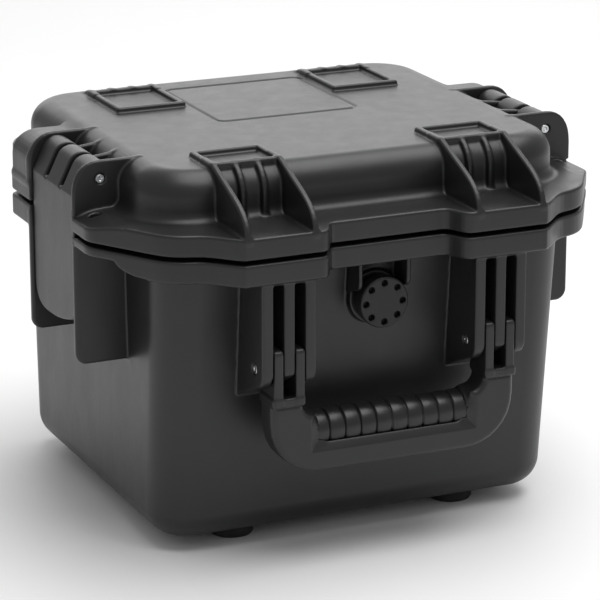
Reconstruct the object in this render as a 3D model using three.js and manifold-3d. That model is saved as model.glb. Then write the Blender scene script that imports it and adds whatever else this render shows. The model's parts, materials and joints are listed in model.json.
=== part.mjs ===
// Rugged moulded carrying case for tools: deep base, hinged domed lid, two side latches, a fold-down
// front handle, a pressure-relief valve and a lift-out tray.
// Millimetres, +Z up, -Y is the front. The origin is the bottom centre of the closed case.
import * as THREE from "three";
import { mergeVertices } from "three/addons/utils/BufferGeometryUtils.js";
import Module from "manifold-3d";

const wasm = await Module();
wasm.setup();

// ---- driving dimensions ----
const WALL = 3.2;
const PIN_RADIUS = 2.3;
const PIN_CLEARANCE = 0.3;
const FIT_GAP = 0.3;
const ROUND_SEGMENTS = 20;

const BASE = {
  bottom: 6, rimTop: 155, flangeBottom: 144.2, plateBottom: 150.5,
  halfX: 106, front: -86, back: 106, cornerRadius: 20.4, bottomRadius: 14.5,
  topHalfX: 107.6, topFront: -97.4, topBack: 107.6, floor: 3.6,
};
const LID = {
  bottom: 157, flangeTop: 167.5, plateBottom: 164, top: 190.8,
  halfX: 110, front: -89.4, back: 102.6, cornerRadius: 28, edgeRadius: 12.5,
};
const FLANGE = {
  middleFront: -112.9, humpFront: -124.9, back: 114.6, side: 117.3, bumperX: 133.5, latchBayX: 126,
  skirt: 3, hingeBack: 111.2, fadeStart: -93, fadeEnd: -77.4, fadeX: 100,
};
// Ends and control points of the curves in the plan of the flange, right half.
const PLAN = {
  humpRise: [28, 33, 39], humpEnd: 78.5,
  waist: [[86, -119.5], [90, -110.5], [98.8, -108.5]],
  shoulder: [[106, -106.5], [110.5, -102], [114, -96.2]],
  diagonalEnd: [131, -68.6], diagonalCorner: -64.6, bumperStart: -60,
  lugEnd: 48, sideStart: 60, sideEnd: 82.6, backCorner: [100.3, 103, 85.3],
};
const SEAL = {
  halfX: 110.6, front: -100.2, back: 110, cornerRadius: 23, groove: 1.9, ring: 1.6, tongue: 1.1,
};
const SEAL_Z = { grooveBottom: 152.4, ringBottom: 152.7, ringTop: 155.2, tongueBottom: 155.5 };
const HUMP = { inner: 41, outer: 78, rib: 3.2, frameTop: 193.4, bar: 3.3, innerRibRise: 2.6 };
const FRONT_FRAME = { near: -82.6, far: -55.4 };
const BACK_FRAME = { near: 38.6, far: 81.6 };
const HINGE = { y: 119.2, z: 162.6, radius: 5.7, knuckleGap: 0.45 };
const LATCH = {
  pinX: 119.4, pinZ: 182, bayFront: -43.1, bayBack: 15.8, gap: 0.5, outerX: 132, innerX: 127.4,
  creaseZ: 173.5, frontZ: 112.3, frontCorner: 6.5, lowY: -1, lowZ: 105.6, backCorner: 14, cornerDrop: 1.5,
  curveLead: 19, knuckleRadius: 7.6, tangentAngle: 26, neckX: 123.2, neckZ: 175.4, faceTop: 169,
  slotBottom: 173.5, slotWidth: 4.4, trimTop: 200, noseX: 121.8, noseTop: 143.2, noseLip: 2.5,
  noseBottom: 136.5, noseInset: 8,
};
const LID_CORNER = { inner: 121, edgeZ: 163.6, front: -80, back: -46.3 };
const EAR = { thickness: 3.2, innerRadius: 5.2, count: 4, top: 190.9 };
const BUMPER = { back: 42, top: 187.5 };
const RELIEF = { inner: 127, outer: 132.4, front: -48, bottom: 151.6 };
const FIN = { root: 104, thickness: 3.5, bottom: 91, cornerRadius: 5.5 };
const BLOCK = { inner: 41.6, outer: 69.1, rib: 5.6, front: -122.9, bottom: 92, ribs: 3 };
const HANDLE = {
  pivotY: -112.2, pivotZ: 100.3, front: -121.9, back: -106.5, armOuter: 63.9, armInner: 47.7,
  bottom: 48, ledge: 58, forkBottom: 82.7, forkFront: -123.2, forkTop: 111, tipRadius: 2.5, shoulderTop: 87.2,
  shoulder: 0.2, prong: 4.6, bendTop: 74, bendLow: 58, bendX: 38, bendPull: 52, innerX: 36, innerZ: 75.2,
};
const GRIP = {
  halfLength: 41, radius: 9.2, bore: 5.3, centreY: -110.6, centreZ: 66, grooves: 9, groovePitch: 8.2,
  grooveDepth: 0.8, grooveWidth: 0.9,
};
const VALVE = {
  z: 123.5, padRadius: 13.4, padFront: -98.5, padBack: -89.4, knobRadius: 12.65, knobFront: -109.4,
  knobBack: -102.7, holes: 8, holeCircle: 9.6, holeRadius: 1.65, shank: 7, bore: 3.7,
};
const GUSSET = { x: 12.65, thickness: 2.2, front: -109.6, bottom: 129.5 };
const FOOT = {
  x: 60.2, front: -61.8, back: 81.8, radius: 11, sinkRadius: 4.4, sinkDepth: 2.6,
  screwHead: 4, screwShank: 1.9, headBottom: 0.7, headTop: 2.3, screwTop: 12,
};
const TRAY = {
  halfX: 98, front: -80.5, back: 97, bottom: 124, top: 152, cornerRadius: 16, wall: 2.2, ribY: 8,
  groove: 1.1, dividerThickness: 1.8, dividerHeight: 22, dividerX: 33,
  notchY: 22, notchHalf: 20, notchDepth: 9,
};
const SIDES = [-1, 1];

// ---- solid helpers ----
function solid(geometry) {
  const plain = geometry.index ? geometry.toNonIndexed() : geometry;
  plain.deleteAttribute("normal");
  plain.deleteAttribute("uv");
  const merged = mergeVertices(plain, 1e-4);
  return new wasm.Manifold(new wasm.Mesh({
    numProp: 3,
    vertProperties: new Float32Array(merged.attributes.position.array),
    triVerts: new Uint32Array(merged.index.array),
  }));
}

function toGeometry(body) {
  const mesh = body.getMesh();
  const geometry = new THREE.BufferGeometry();
  geometry.setAttribute("position", new THREE.BufferAttribute(new Float32Array(mesh.vertProperties), 3));
  geometry.setIndex(new THREE.BufferAttribute(new Uint32Array(mesh.triVerts), 1));
  geometry.computeVertexNormals();
  return geometry;
}

function join(...bodies) {
  return bodies.reduce((sum, body) => sum.add(body));
}

function cut(body, ...tools) {
  return tools.reduce((rest, tool) => rest.subtract(tool), body);
}

// Two distances from the middle plane as x values on one side, lower one first.
function span(side, inner, outer) {
  return side < 0 ? [-outer, -inner] : [inner, outer];
}

// A box between two values on each axis, given in either order.
function box([x0, x1], [y0, y1], [z0, z1]) {
  const geometry = new THREE.BoxGeometry(Math.abs(x1 - x0), Math.abs(y1 - y0), Math.abs(z1 - z0));
  geometry.translate((x0 + x1) / 2, (y0 + y1) / 2, (z0 + z1) / 2);
  return solid(geometry);
}

// Extrudes a closed outline. axis "z" reads it as (x, y), "y" as (x, z) and "x" as (y, z).
function prism(shape, from, to, axis = "z", curveSegments = 6) {
  const geometry = new THREE.ExtrudeGeometry(shape, { depth: to - from, bevelEnabled: false, curveSegments });
  geometry.translate(0, 0, from);
  const basis = {
    z: new THREE.Matrix4(),
    y: new THREE.Matrix4().makeBasis(
      new THREE.Vector3(1, 0, 0), new THREE.Vector3(0, 0, 1), new THREE.Vector3(0, 1, 0)),
    x: new THREE.Matrix4().makeBasis(
      new THREE.Vector3(0, 1, 0), new THREE.Vector3(0, 0, 1), new THREE.Vector3(1, 0, 0)),
  };
  geometry.applyMatrix4(basis[axis]);
  if (axis === "y") flipFaces(geometry);
  return solid(geometry);
}

// The basis for axis "y" mirrors the outline, so its faces are turned the right way round again.
function flipFaces(geometry) {
  const position = geometry.attributes.position.array;
  for (let i = 0; i < position.length; i += 9) {
    for (let k = 0; k < 3; k += 1) {
      const kept = position[i + 3 + k];
      position[i + 3 + k] = position[i + 6 + k];
      position[i + 6 + k] = kept;
    }
  }
}

function polygon(points) {
  return new THREE.Shape(points.map(([u, v]) => new THREE.Vector2(u, v)));
}

function cylinder(axis, [a, b], radius, from, to, segments = ROUND_SEGMENTS) {
  const geometry = new THREE.CylinderGeometry(radius, radius, to - from, segments);
  const middle = (from + to) / 2;
  if (axis === "x") {
    geometry.rotateZ(Math.PI / 2);
    geometry.translate(middle, a, b);
  } else if (axis === "y") {
    geometry.translate(a, middle, b);
  } else {
    geometry.rotateX(Math.PI / 2);
    geometry.translate(a, b, middle);
  }
  return solid(geometry);
}

// One rounded-rectangle ring of a loft, counter-clockwise from above.
function ring({ halfX, front, back, radius, z }, steps = 5) {
  const points = [];
  const centres = [[halfX - radius, back - radius], [radius - halfX, back - radius],
    [radius - halfX, front + radius], [halfX - radius, front + radius]];
  centres.forEach(([cx, cy], quarter) => {
    for (let i = 0; i <= steps; i += 1) {
      const angle = (quarter + i / steps) * Math.PI / 2;
      points.push([cx + radius * Math.cos(angle), cy + radius * Math.sin(angle), z]);
    }
  });
  return points;
}

// A closed body through rings that all have the same number of points, lowest first.
function loft(rings) {
  const count = rings[0].length;
  const vertices = rings.flat(2);
  const index = [];
  for (let level = 0; level + 1 < rings.length; level += 1) {
    for (let i = 0; i < count; i += 1) {
      const a = level * count + i;
      const b = level * count + (i + 1) % count;
      index.push(a, b, b + count, a, b + count, a + count);
    }
  }
  const top = (rings.length - 1) * count;
  for (let i = 1; i + 1 < count; i += 1) {
    index.push(0, i + 1, i);
    index.push(top, top + i, top + i + 1);
  }
  const geometry = new THREE.BufferGeometry();
  geometry.setAttribute("position", new THREE.Float32BufferAttribute(vertices, 3));
  geometry.setIndex(index);
  return solid(geometry);
}

function roundedPrism(size, from, to) {
  return loft([ring({ ...size, z: from }), ring({ ...size, z: to })]);
}

// Moves a closed outline inward by a distance, keeping its corners sharp.
function inset(points, distance) {
  const count = points.length;
  return points.map(([x, y], i) => {
    const [ax, ay] = points[(i + count - 1) % count];
    const [bx, by] = points[(i + 1) % count];
    const before = new THREE.Vector2(x - ax, y - ay).normalize();
    const after = new THREE.Vector2(bx - x, by - y).normalize();
    const normalA = new THREE.Vector2(-before.y, before.x);
    const normalB = new THREE.Vector2(-after.y, after.x);
    const miter = normalA.clone().add(normalB).normalize();
    const reach = distance / Math.max(miter.dot(normalA), 0.3);
    return [x + miter.x * reach, y + miter.y * reach];
  });
}

// ---- shared outlines ----
// Plan of the flange that both shells share, counter-clockwise: flat-fronted humps over the handle
// blocks, straight diagonals to the bumpers, and a lug behind each latch bay.
function flangeOutline() {
  const half = new THREE.Path();
  half.moveTo(0, FLANGE.middleFront);
  const [riseStart, riseMiddle, riseEnd] = PLAN.humpRise;
  half.lineTo(riseStart, FLANGE.middleFront);
  half.bezierCurveTo(riseMiddle, FLANGE.middleFront, riseMiddle, FLANGE.humpFront, riseEnd, FLANGE.humpFront);
  half.lineTo(PLAN.humpEnd, FLANGE.humpFront);
  half.bezierCurveTo(...PLAN.waist.flat());
  half.bezierCurveTo(...PLAN.shoulder.flat());
  half.lineTo(...PLAN.diagonalEnd);
  half.quadraticCurveTo(FLANGE.bumperX, PLAN.diagonalCorner, FLANGE.bumperX, PLAN.bumperStart);
  half.lineTo(FLANGE.bumperX, LATCH.bayFront);
  half.lineTo(FLANGE.latchBayX, LATCH.bayFront);
  half.lineTo(FLANGE.latchBayX, LATCH.bayBack);
  half.lineTo(FLANGE.bumperX, LATCH.bayBack);
  half.lineTo(FLANGE.bumperX, BUMPER.back);
  half.bezierCurveTo(FLANGE.bumperX, PLAN.lugEnd, FLANGE.side, PLAN.lugEnd, FLANGE.side, PLAN.sideStart);
  half.lineTo(FLANGE.side, PLAN.sideEnd);
  const [cornerY, cornerX, cornerEnd] = PLAN.backCorner;
  half.bezierCurveTo(FLANGE.side, cornerY, cornerX, FLANGE.back, cornerEnd, FLANGE.back);
  half.lineTo(0, FLANGE.back);
  const right = half.getPoints(5).map((p) => [p.x, p.y]);
  const left = right.slice(1, -1).reverse().map(([x, y]) => [-x, y]);
  return [...right, ...left];
}

function sealRing(halfWidth, from, to) {
  const size = (grow) => ({
    halfX: SEAL.halfX + grow, front: SEAL.front - grow, back: SEAL.back + grow,
    radius: SEAL.cornerRadius + grow,
  });
  return cut(roundedPrism(size(halfWidth), from, to), roundedPrism(size(-halfWidth), from - 1, to + 1));
}

// Start of each of the ribs or ears that stand across a hump.
function humpRibStarts(count = 4) {
  const pitch = (HUMP.outer - HUMP.inner - HUMP.rib) / (count - 1);
  return Array.from({ length: count }, (_, i) => HUMP.inner + i * pitch);
}

function earStarts() {
  const first = LATCH.bayFront - EAR.thickness;
  const pitch = (LATCH.bayBack - first) / (EAR.count - 1);
  return Array.from({ length: EAR.count }, (_, i) => first + i * pitch);
}

// ---- base shell ----
function bodyRings(wall) {
  const rings = [];
  const radius = BASE.bottomRadius - wall;
  const bottom = wall ? BASE.bottom + BASE.floor : BASE.bottom;
  for (let step = 0; step <= 3; step += 1) {
    const angle = step * Math.PI / 6;
    const drawIn = radius * (1 - Math.sin(angle)) + wall;
    rings.push(ring({
      halfX: BASE.halfX - drawIn, front: BASE.front + drawIn, back: BASE.back - drawIn,
      radius: BASE.cornerRadius - drawIn, z: bottom + radius * (1 - Math.cos(angle)),
    }));
  }
  const top = wall ? BASE.rimTop + 1 : BASE.plateBottom + 1;
  rings.push(ring({
    halfX: BASE.topHalfX - wall, front: BASE.topFront + wall, back: BASE.topBack - wall,
    radius: BASE.cornerRadius - wall, z: top,
  }));
  return rings;
}

function baseFlange() {
  const outline = flangeOutline();
  const skirt = prism(polygon(outline), BASE.flangeBottom, BASE.rimTop);
  const pocket = prism(polygon(inset(outline, FLANGE.skirt)), BASE.flangeBottom - 1, BASE.plateBottom);
  return cut(skirt, pocket, ...SIDES.map(skirtFade));
}

// Room under a front corner, where the skirt fades out and only the plate runs on to the bumper.
function skirtFade(side) {
  const fade = new THREE.Shape();
  fade.moveTo(FLANGE.fadeStart, BASE.flangeBottom - 1);
  fade.lineTo(FLANGE.fadeStart, BASE.flangeBottom);
  fade.quadraticCurveTo(FLANGE.fadeEnd - 5, BASE.flangeBottom + 2, FLANGE.fadeEnd, BASE.plateBottom);
  fade.lineTo(LATCH.bayFront + 1, BASE.plateBottom);
  fade.lineTo(LATCH.bayFront + 1, BASE.flangeBottom - 1);
  return prism(fade, ...span(side, FLANGE.fadeX, FLANGE.bumperX + 1), "x");
}

// Pocket in the top of a bumper, which the lower corner of the closed latch passes as the lid opens.
function latchRelief(side) {
  const open = LATCH.bayFront + 0.1;
  const pocket = polygon([
    [RELIEF.front, BASE.rimTop], [open, RELIEF.bottom],
    [open, BASE.rimTop + 1], [RELIEF.front, BASE.rimTop + 1],
  ]);
  return prism(pocket, ...span(side, RELIEF.inner, RELIEF.outer), "x");
}

// Ribbed block under a front hump that carries one end of the handle.
function handleBlock(side) {
  const profile = new THREE.Shape();
  profile.moveTo(-84, BASE.plateBottom + 1);
  profile.lineTo(BLOCK.front, BASE.plateBottom + 1);
  profile.lineTo(BLOCK.front, BLOCK.bottom + 9);
  profile.quadraticCurveTo(BLOCK.front, BLOCK.bottom, BLOCK.front + 9, BLOCK.bottom);
  profile.lineTo(-84, BLOCK.bottom - 14);
  const body = prism(profile, ...span(side, BLOCK.inner, BLOCK.outer), "x");
  const slots = handleSlots().map(([from, to]) => {
    return box([side * from, side * to], [BLOCK.front - 1, -100.5], [BLOCK.bottom - 20, 142.8]);
  });
  const hole = cylinder("x", [HANDLE.pivotY, HANDLE.pivotZ], PIN_RADIUS + PIN_CLEARANCE,
    ...span(side, BLOCK.inner - 1, BLOCK.outer + 1));
  return cut(body, ...slots, hole);
}

function handleSlots() {
  const slot = (BLOCK.outer - BLOCK.inner - BLOCK.ribs * BLOCK.rib) / (BLOCK.ribs - 1);
  return Array.from({ length: BLOCK.ribs - 1 }, (_, i) => {
    const from = BLOCK.inner + BLOCK.rib + i * (BLOCK.rib + slot);
    return [from, from + slot];
  });
}

// Thin fin beside a latch, which guards the latch against knocks.
function latchFin(side, from) {
  const fin = new THREE.Shape();
  const cornerX = FLANGE.bumperX - FIN.cornerRadius;
  fin.moveTo(side * FIN.root, BASE.plateBottom + 1);
  fin.lineTo(side * FLANGE.bumperX, BASE.plateBottom + 1);
  fin.lineTo(side * FLANGE.bumperX, FIN.bottom + FIN.cornerRadius);
  fin.quadraticCurveTo(side * FLANGE.bumperX, FIN.bottom, side * cornerX, FIN.bottom);
  fin.lineTo(side * FIN.root, FIN.bottom);
  return prism(fin, from, from + FIN.thickness, "y");
}

// Knuckle of the rear hinge with the gusset that carries it down the back wall.
function hingeKnuckle(side, from, to) {
  const arm = new THREE.Shape();
  arm.moveTo(106, 118);
  arm.lineTo(117, 142);
  arm.lineTo(HINGE.y + HINGE.radius, 152);
  arm.lineTo(HINGE.y + HINGE.radius, HINGE.z);
  arm.absarc(HINGE.y, HINGE.z, HINGE.radius, 0, Math.PI, false);
  arm.lineTo(HINGE.y - HINGE.radius, 153);
  arm.lineTo(106, 153);
  return prism(arm, ...span(side, from, to), "x");
}

function hingeKnuckles(side) {
  const starts = humpRibStarts();
  const knuckles = starts.slice(0, -1).map((start, i) => {
    return hingeKnuckle(side, start + HUMP.rib + HINGE.knuckleGap, starts[i + 1] - HINGE.knuckleGap);
  });
  return join(...knuckles);
}

function pinHole(side) {
  return cylinder("x", [HINGE.y, HINGE.z], PIN_RADIUS + PIN_CLEARANCE,
    ...span(side, HUMP.inner - 2, HUMP.outer + 2));
}

// Upright rib beside the valve.
function valveGusset(side) {
  const rib = new THREE.Shape();
  rib.moveTo(-92, BASE.plateBottom + 1);
  rib.lineTo(GUSSET.front, BASE.plateBottom + 1);
  rib.lineTo(GUSSET.front, GUSSET.bottom + 5);
  rib.quadraticCurveTo(GUSSET.front, GUSSET.bottom, GUSSET.front + 6, GUSSET.bottom);
  rib.lineTo(-92, GUSSET.bottom - 5);
  const centre = side * GUSSET.x;
  return prism(rib, centre - GUSSET.thickness / 2, centre + GUSSET.thickness / 2, "x");
}

function footPlaces() {
  return SIDES.flatMap((side) => [[side * FOOT.x, FOOT.front], [side * FOOT.x, FOOT.back]]);
}

// Step in each inner corner that the tray rests on.
function trayLedges() {
  const ledges = SIDES.flatMap((side) => [
    box([side * 84, side * 106], [-95, -70], [116, TRAY.bottom - FIT_GAP]),
    box([side * 84, side * 106], [86, 106], [116, TRAY.bottom - FIT_GAP]),
  ]);
  return join(...ledges);
}

function baseShell() {
  const outer = loft(bodyRings(0));
  const cavity = loft(bodyRings(WALL));
  const pad = cylinder("y", [0, VALVE.z], VALVE.padRadius, VALVE.padFront, VALVE.padBack);
  const bosses = footPlaces().map((place) => cylinder("z", place, 5.2, BASE.bottom + 1, 14));
  const inside = join(...bosses, trayLedges()).intersect(outer);
  const outside = join(
    outer, baseFlange(), ...SIDES.map(handleBlock), ...SIDES.map(hingeKnuckles), ...SIDES.map(valveGusset),
    ...SIDES.map((side) => latchFin(side, LATCH.bayFront - FIN.thickness)),
    ...SIDES.map((side) => latchFin(side, LATCH.bayBack)),
  );
  const screwHoles = footPlaces().map((place) => {
    return cylinder("z", place, FOOT.screwShank + FIT_GAP, BASE.bottom - 1, 12.4, 12);
  });
  return cut(
    join(cut(outside, cavity), inside, pad), ...screwHoles, ...SIDES.map(pinHole),
    cylinder("y", [0, VALVE.z], VALVE.shank + FIT_GAP, VALVE.padFront - 1, VALVE.padBack + 1),
    sealRing(SEAL.groove, SEAL_Z.grooveBottom, BASE.rimTop + 1), ...SIDES.map(latchRelief),
    ...SIDES.map((side) => padlockHole(side, BASE.plateBottom - 1, BASE.rimTop + 1)),
  );
}

// ---- lid shell ----
function domeRings(wall) {
  const rings = [];
  const radius = LID.edgeRadius - wall;
  const top = LID.top - wall;
  const plan = (drawIn, z) => ring({
    halfX: LID.halfX - wall - drawIn, front: LID.front + wall + drawIn, back: LID.back - wall - drawIn,
    radius: LID.cornerRadius - wall - drawIn, z,
  });
  rings.push(plan(0, wall ? LID.bottom - 1 : LID.plateBottom));
  for (let step = 0; step <= 4; step += 1) {
    const angle = step * Math.PI / 8;
    rings.push(plan(radius * (1 - Math.cos(angle)), top - radius * (1 - Math.sin(angle))));
  }
  return rings;
}

function lidFlange() {
  const outline = flangeOutline();
  const skirt = prism(polygon(outline), LID.bottom, LID.flangeTop);
  const pocket = prism(polygon(inset(outline, FLANGE.skirt)), LID.bottom - 1, LID.plateBottom);
  return cut(skirt, cut(pocket, ...SIDES.map(cornerFill)), ...SIDES.map(cornerSlope));
}

// Front corner of the lid's flange: solid, with a top that slopes down to the bumper.
function cornerFill(side) {
  return box([side * LID_CORNER.inner, side * (FLANGE.bumperX + 1)], [LID_CORNER.front, LID_CORNER.back],
    [LID.bottom - 2, LID.plateBottom + 1]);
}

function cornerSlope(side) {
  const above = new THREE.Shape();
  above.moveTo(side * LID_CORNER.inner, LID.flangeTop);
  above.quadraticCurveTo(side * (LID_CORNER.inner + 7), LID.flangeTop - 0.6,
    side * (FLANGE.bumperX + 0.5), LID_CORNER.edgeZ);
  above.lineTo(side * (FLANGE.bumperX + 0.5), LID.flangeTop + 1);
  above.lineTo(side * LID_CORNER.inner, LID.flangeTop + 1);
  return prism(above, LID_CORNER.front, LID_CORNER.back, "y");
}

// Raised frame with a recess on the top face, over one hump.
function humpFrame(side, { near, far }) {
  const frame = box([side * HUMP.inner, side * HUMP.outer], [near, far], [LID.top - 3, HUMP.frameTop]);
  const recess = box([side * (HUMP.inner + HUMP.bar), side * (HUMP.outer - HUMP.bar)],
    [near + HUMP.bar, far - HUMP.bar], [LID.top + 0.1, HUMP.frameTop + 1]);
  return cut(frame, recess);
}

// Outer rib of a front hump: level with the frame, then down over the dome edge to the flange front.
function frontRibProfile() {
  const rib = new THREE.Shape();
  rib.moveTo(-72, 185);
  rib.lineTo(-72, HUMP.frameTop);
  rib.lineTo(FRONT_FRAME.near - 0.8, HUMP.frameTop);
  rib.lineTo(-107.5, 183.8);
  rib.bezierCurveTo(-121, 178.5, FLANGE.humpFront, 173, FLANGE.humpFront, 165);
  rib.lineTo(-84, 165);
  return rib;
}

// Rib of a rear hump, which ends in the hinge ear.
function rearEarProfile() {
  const ear = new THREE.Shape();
  ear.moveTo(72, 185);
  ear.lineTo(72, HUMP.frameTop);
  ear.lineTo(BACK_FRAME.far + 2, HUMP.frameTop);
  ear.lineTo(107.5, 183.8);
  ear.bezierCurveTo(118, 179.5, HINGE.y + HINGE.radius, 174, HINGE.y + HINGE.radius, HINGE.z);
  ear.absarc(HINGE.y, HINGE.z, HINGE.radius, 0, -Math.PI / 2, true);
  ear.lineTo(100, LID.bottom);
  ear.lineTo(96, 175);
  return ear;
}

// Low rib that follows the rounded dome edge, at the front or at the rear of a hump.
function innerRibProfile(rear) {
  const rib = new THREE.Shape();
  const radius = LID.edgeRadius + HUMP.innerRibRise;
  const centreZ = LID.top - LID.edgeRadius;
  if (rear) {
    rib.absarc(LID.back - LID.edgeRadius, centreZ, radius, 0, Math.PI / 2, false);
    rib.lineTo(70, centreZ + radius);
    rib.lineTo(70, 180);
    rib.lineTo(LID.back - 2, 165);
    rib.lineTo(LID.back - LID.edgeRadius + radius, 165);
  } else {
    rib.absarc(LID.front + LID.edgeRadius, centreZ, radius, Math.PI / 2, Math.PI, false);
    rib.lineTo(LID.front + LID.edgeRadius - radius, 165);
    rib.lineTo(LID.front + 2, 165);
    rib.lineTo(-70, 180);
    rib.lineTo(-70, centreZ + radius);
  }
  return rib;
}

function humpRibs(side) {
  const starts = humpRibStarts();
  const ribs = starts.flatMap((start, i) => {
    const across = span(side, start, start + HUMP.rib);
    const outer = i === 0 || i === starts.length - 1;
    const front = prism(outer ? frontRibProfile() : innerRibProfile(false), ...across, "x");
    return [front, prism(rearEarProfile(), ...across, "x")];
  });
  return join(...ribs);
}

// Ear at either end of a latch: a full-height cheek with a rounded shoulder.
function cheekProfile(side) {
  const cheek = new THREE.Shape();
  cheek.moveTo(side * 100, LID.plateBottom + 1);
  cheek.lineTo(side * FLANGE.bumperX, LID.plateBottom + 1);
  cheek.lineTo(side * FLANGE.bumperX, 174);
  cheek.bezierCurveTo(side * FLANGE.bumperX, 184, side * 129, EAR.top, side * 120, EAR.top);
  cheek.lineTo(side * 98, EAR.top);
  cheek.lineTo(side * 98, 180);
  return cheek;
}

// Ear between the latch knuckles: a web that ends in a small eye round the pin.
function middleEarProfile(side) {
  const ear = new THREE.Shape();
  ear.moveTo(side * 98, 189.6);
  ear.lineTo(side * LATCH.pinX, LATCH.pinZ + EAR.innerRadius);
  for (let step = 1; step <= 6; step += 1) {
    const angle = Math.PI / 2 - step * Math.PI / 6;
    ear.lineTo(side * (LATCH.pinX + EAR.innerRadius * Math.cos(angle)),
      LATCH.pinZ + EAR.innerRadius * Math.sin(angle));
  }
  ear.lineTo(side * 113, LID.plateBottom + 1);
  ear.lineTo(side * 98, LID.plateBottom + 1);
  return ear;
}

// Solid bumper behind the rear cheek.
function bumperProfile(side) {
  const bumper = new THREE.Shape();
  bumper.moveTo(side * 100, LID.plateBottom + 1);
  bumper.lineTo(side * FLANGE.bumperX, LID.plateBottom + 1);
  bumper.lineTo(side * FLANGE.bumperX, 177);
  bumper.bezierCurveTo(side * FLANGE.bumperX, 183, side * 127, BUMPER.top, side * 121, BUMPER.top);
  bumper.lineTo(side * 98, BUMPER.top);
  bumper.lineTo(side * 98, 180);
  return bumper;
}

function latchMount(side) {
  const ears = earStarts().map((start, i) => {
    const cheek = i === 0 || i === EAR.count - 1;
    return prism(cheek ? cheekProfile(side) : middleEarProfile(side), start, start + EAR.thickness, "y");
  });
  const bumper = prism(bumperProfile(side), LATCH.bayBack + EAR.thickness - 0.1, BUMPER.back, "y");
  return join(...ears, bumper);
}

function latchPinHole(side) {
  return cylinder("y", [side * LATCH.pinX, LATCH.pinZ], PIN_RADIUS + PIN_CLEARANCE,
    LATCH.bayFront - 5, LATCH.bayBack + 5);
}

// Oval hole for a padlock, through both flanges in front of a latch.
function padlockHole(side, from, to) {
  const oval = new THREE.Shape();
  oval.absellipse(side * 124.5, -52, 3.2, 2.4, 0, Math.PI * 2, false, 0);
  return prism(oval, from, to, "z", 5);
}

// Clearance in the rear flange of the lid for one knuckle of the base.
function knuckleClearances(side) {
  const starts = humpRibStarts();
  return starts.slice(0, -1).map((start, i) => {
    return box([side * (start + HUMP.rib), side * starts[i + 1]], [FLANGE.hingeBack, 126],
      [LID.bottom - 1, LID.flangeTop + 2]);
  });
}

// Shallow framed field in the middle of the top face.
function topField() {
  const size = (grow) => ({ halfX: 36 - grow, front: 3 + grow, back: 77 - grow, radius: 5 - grow });
  const groove = roundedPrism(size(0), LID.top - 0.6, LID.top + 1);
  return cut(groove, roundedPrism(size(1.4), LID.top - 2, LID.top + 2));
}

function lidShell() {
  const outline = polygon(inset(flangeOutline(), FLANGE.skirt - 0.5));
  const lowerCavity = roundedPrism({
    halfX: SEAL.halfX - 2.2, front: SEAL.front + 2.2, back: SEAL.back - 2.2, radius: SEAL.cornerRadius - 2.2,
  }, LID.bottom - 3, LID.plateBottom);
  const sealWall = sealRing(2.2, LID.bottom, LID.plateBottom + 1).intersect(prism(outline, 150, 170));
  const outside = join(
    loft(domeRings(0)), lidFlange(), sealWall, sealRing(SEAL.tongue, SEAL_Z.tongueBottom, LID.bottom + 1),
    ...SIDES.map(humpRibs), ...SIDES.map((side) => humpFrame(side, FRONT_FRAME)),
    ...SIDES.map((side) => humpFrame(side, BACK_FRAME)), ...SIDES.map(latchMount),
  );
  return cut(
    outside, loft(domeRings(WALL)), lowerCavity, topField(),
    ...SIDES.flatMap(knuckleClearances), ...SIDES.map(pinHole), ...SIDES.map(latchPinHole),
    ...SIDES.map((side) => padlockHole(side, LID.bottom - 1, LID.flangeTop + 1)),
  );
}

// ---- latches and pins ----
function latch(side) {
  const front = LATCH.bayFront + LATCH.gap;
  const back = LATCH.bayBack - LATCH.gap;
  const eye = [side * LATCH.pinX, LATCH.pinZ];
  const tangent = THREE.MathUtils.degToRad(LATCH.tangentAngle);
  const tangentX = LATCH.pinX + LATCH.knuckleRadius * Math.cos(tangent);
  const tangentZ = LATCH.pinZ + LATCH.knuckleRadius * Math.sin(tangent);
  const plate = polygon([
    [LATCH.outerX, LATCH.lowZ], [LATCH.outerX, LATCH.creaseZ], [tangentX, tangentZ],
    [LATCH.pinX, LATCH.pinZ], [LATCH.neckX, LATCH.neckZ], [LATCH.innerX, LATCH.faceTop],
    [LATCH.innerX, LATCH.lowZ],
  ].map(([x, z]) => [side * x, z]));
  const nose = polygon([
    [LATCH.innerX + 1, LATCH.noseTop], [LATCH.noseX, LATCH.noseTop],
    [LATCH.noseX, LATCH.noseTop - LATCH.noseLip], [LATCH.innerX + 1, LATCH.noseBottom],
  ].map(([x, z]) => [side * x, z]));
  const lowerEdge = new THREE.Shape();
  lowerEdge.moveTo(front, LATCH.trimTop);
  lowerEdge.lineTo(front, LATCH.frontZ + LATCH.frontCorner);
  lowerEdge.quadraticCurveTo(front, LATCH.frontZ,
    front + LATCH.frontCorner, LATCH.frontZ - LATCH.cornerDrop);
  lowerEdge.quadraticCurveTo(LATCH.lowY - LATCH.curveLead, LATCH.lowZ, LATCH.lowY, LATCH.lowZ);
  lowerEdge.quadraticCurveTo(back, LATCH.lowZ, back, LATCH.lowZ + LATCH.backCorner);
  lowerEdge.lineTo(back, LATCH.trimTop);
  const trim = prism(lowerEdge, ...span(side, 100, 140), "x", 8);
  const body = join(
    prism(plate, front, back, "y").intersect(trim),
    cylinder("y", eye, LATCH.knuckleRadius, front, back),
    prism(nose, front + LATCH.noseInset, back - LATCH.noseInset, "y"),
  );
  const slots = earStarts().slice(1, -1).map((start) => {
    const centre = start + EAR.thickness / 2;
    return box([side * 105, side * 140], [centre - LATCH.slotWidth / 2, centre + LATCH.slotWidth / 2],
      [LATCH.slotBottom, 200]);
  });
  return cut(body, ...slots, latchPinHole(side));
}

function pin(axis, place, from, to) {
  return cylinder(axis, place, PIN_RADIUS, ...[from, to].sort((a, b) => a - b), 16);
}

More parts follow.
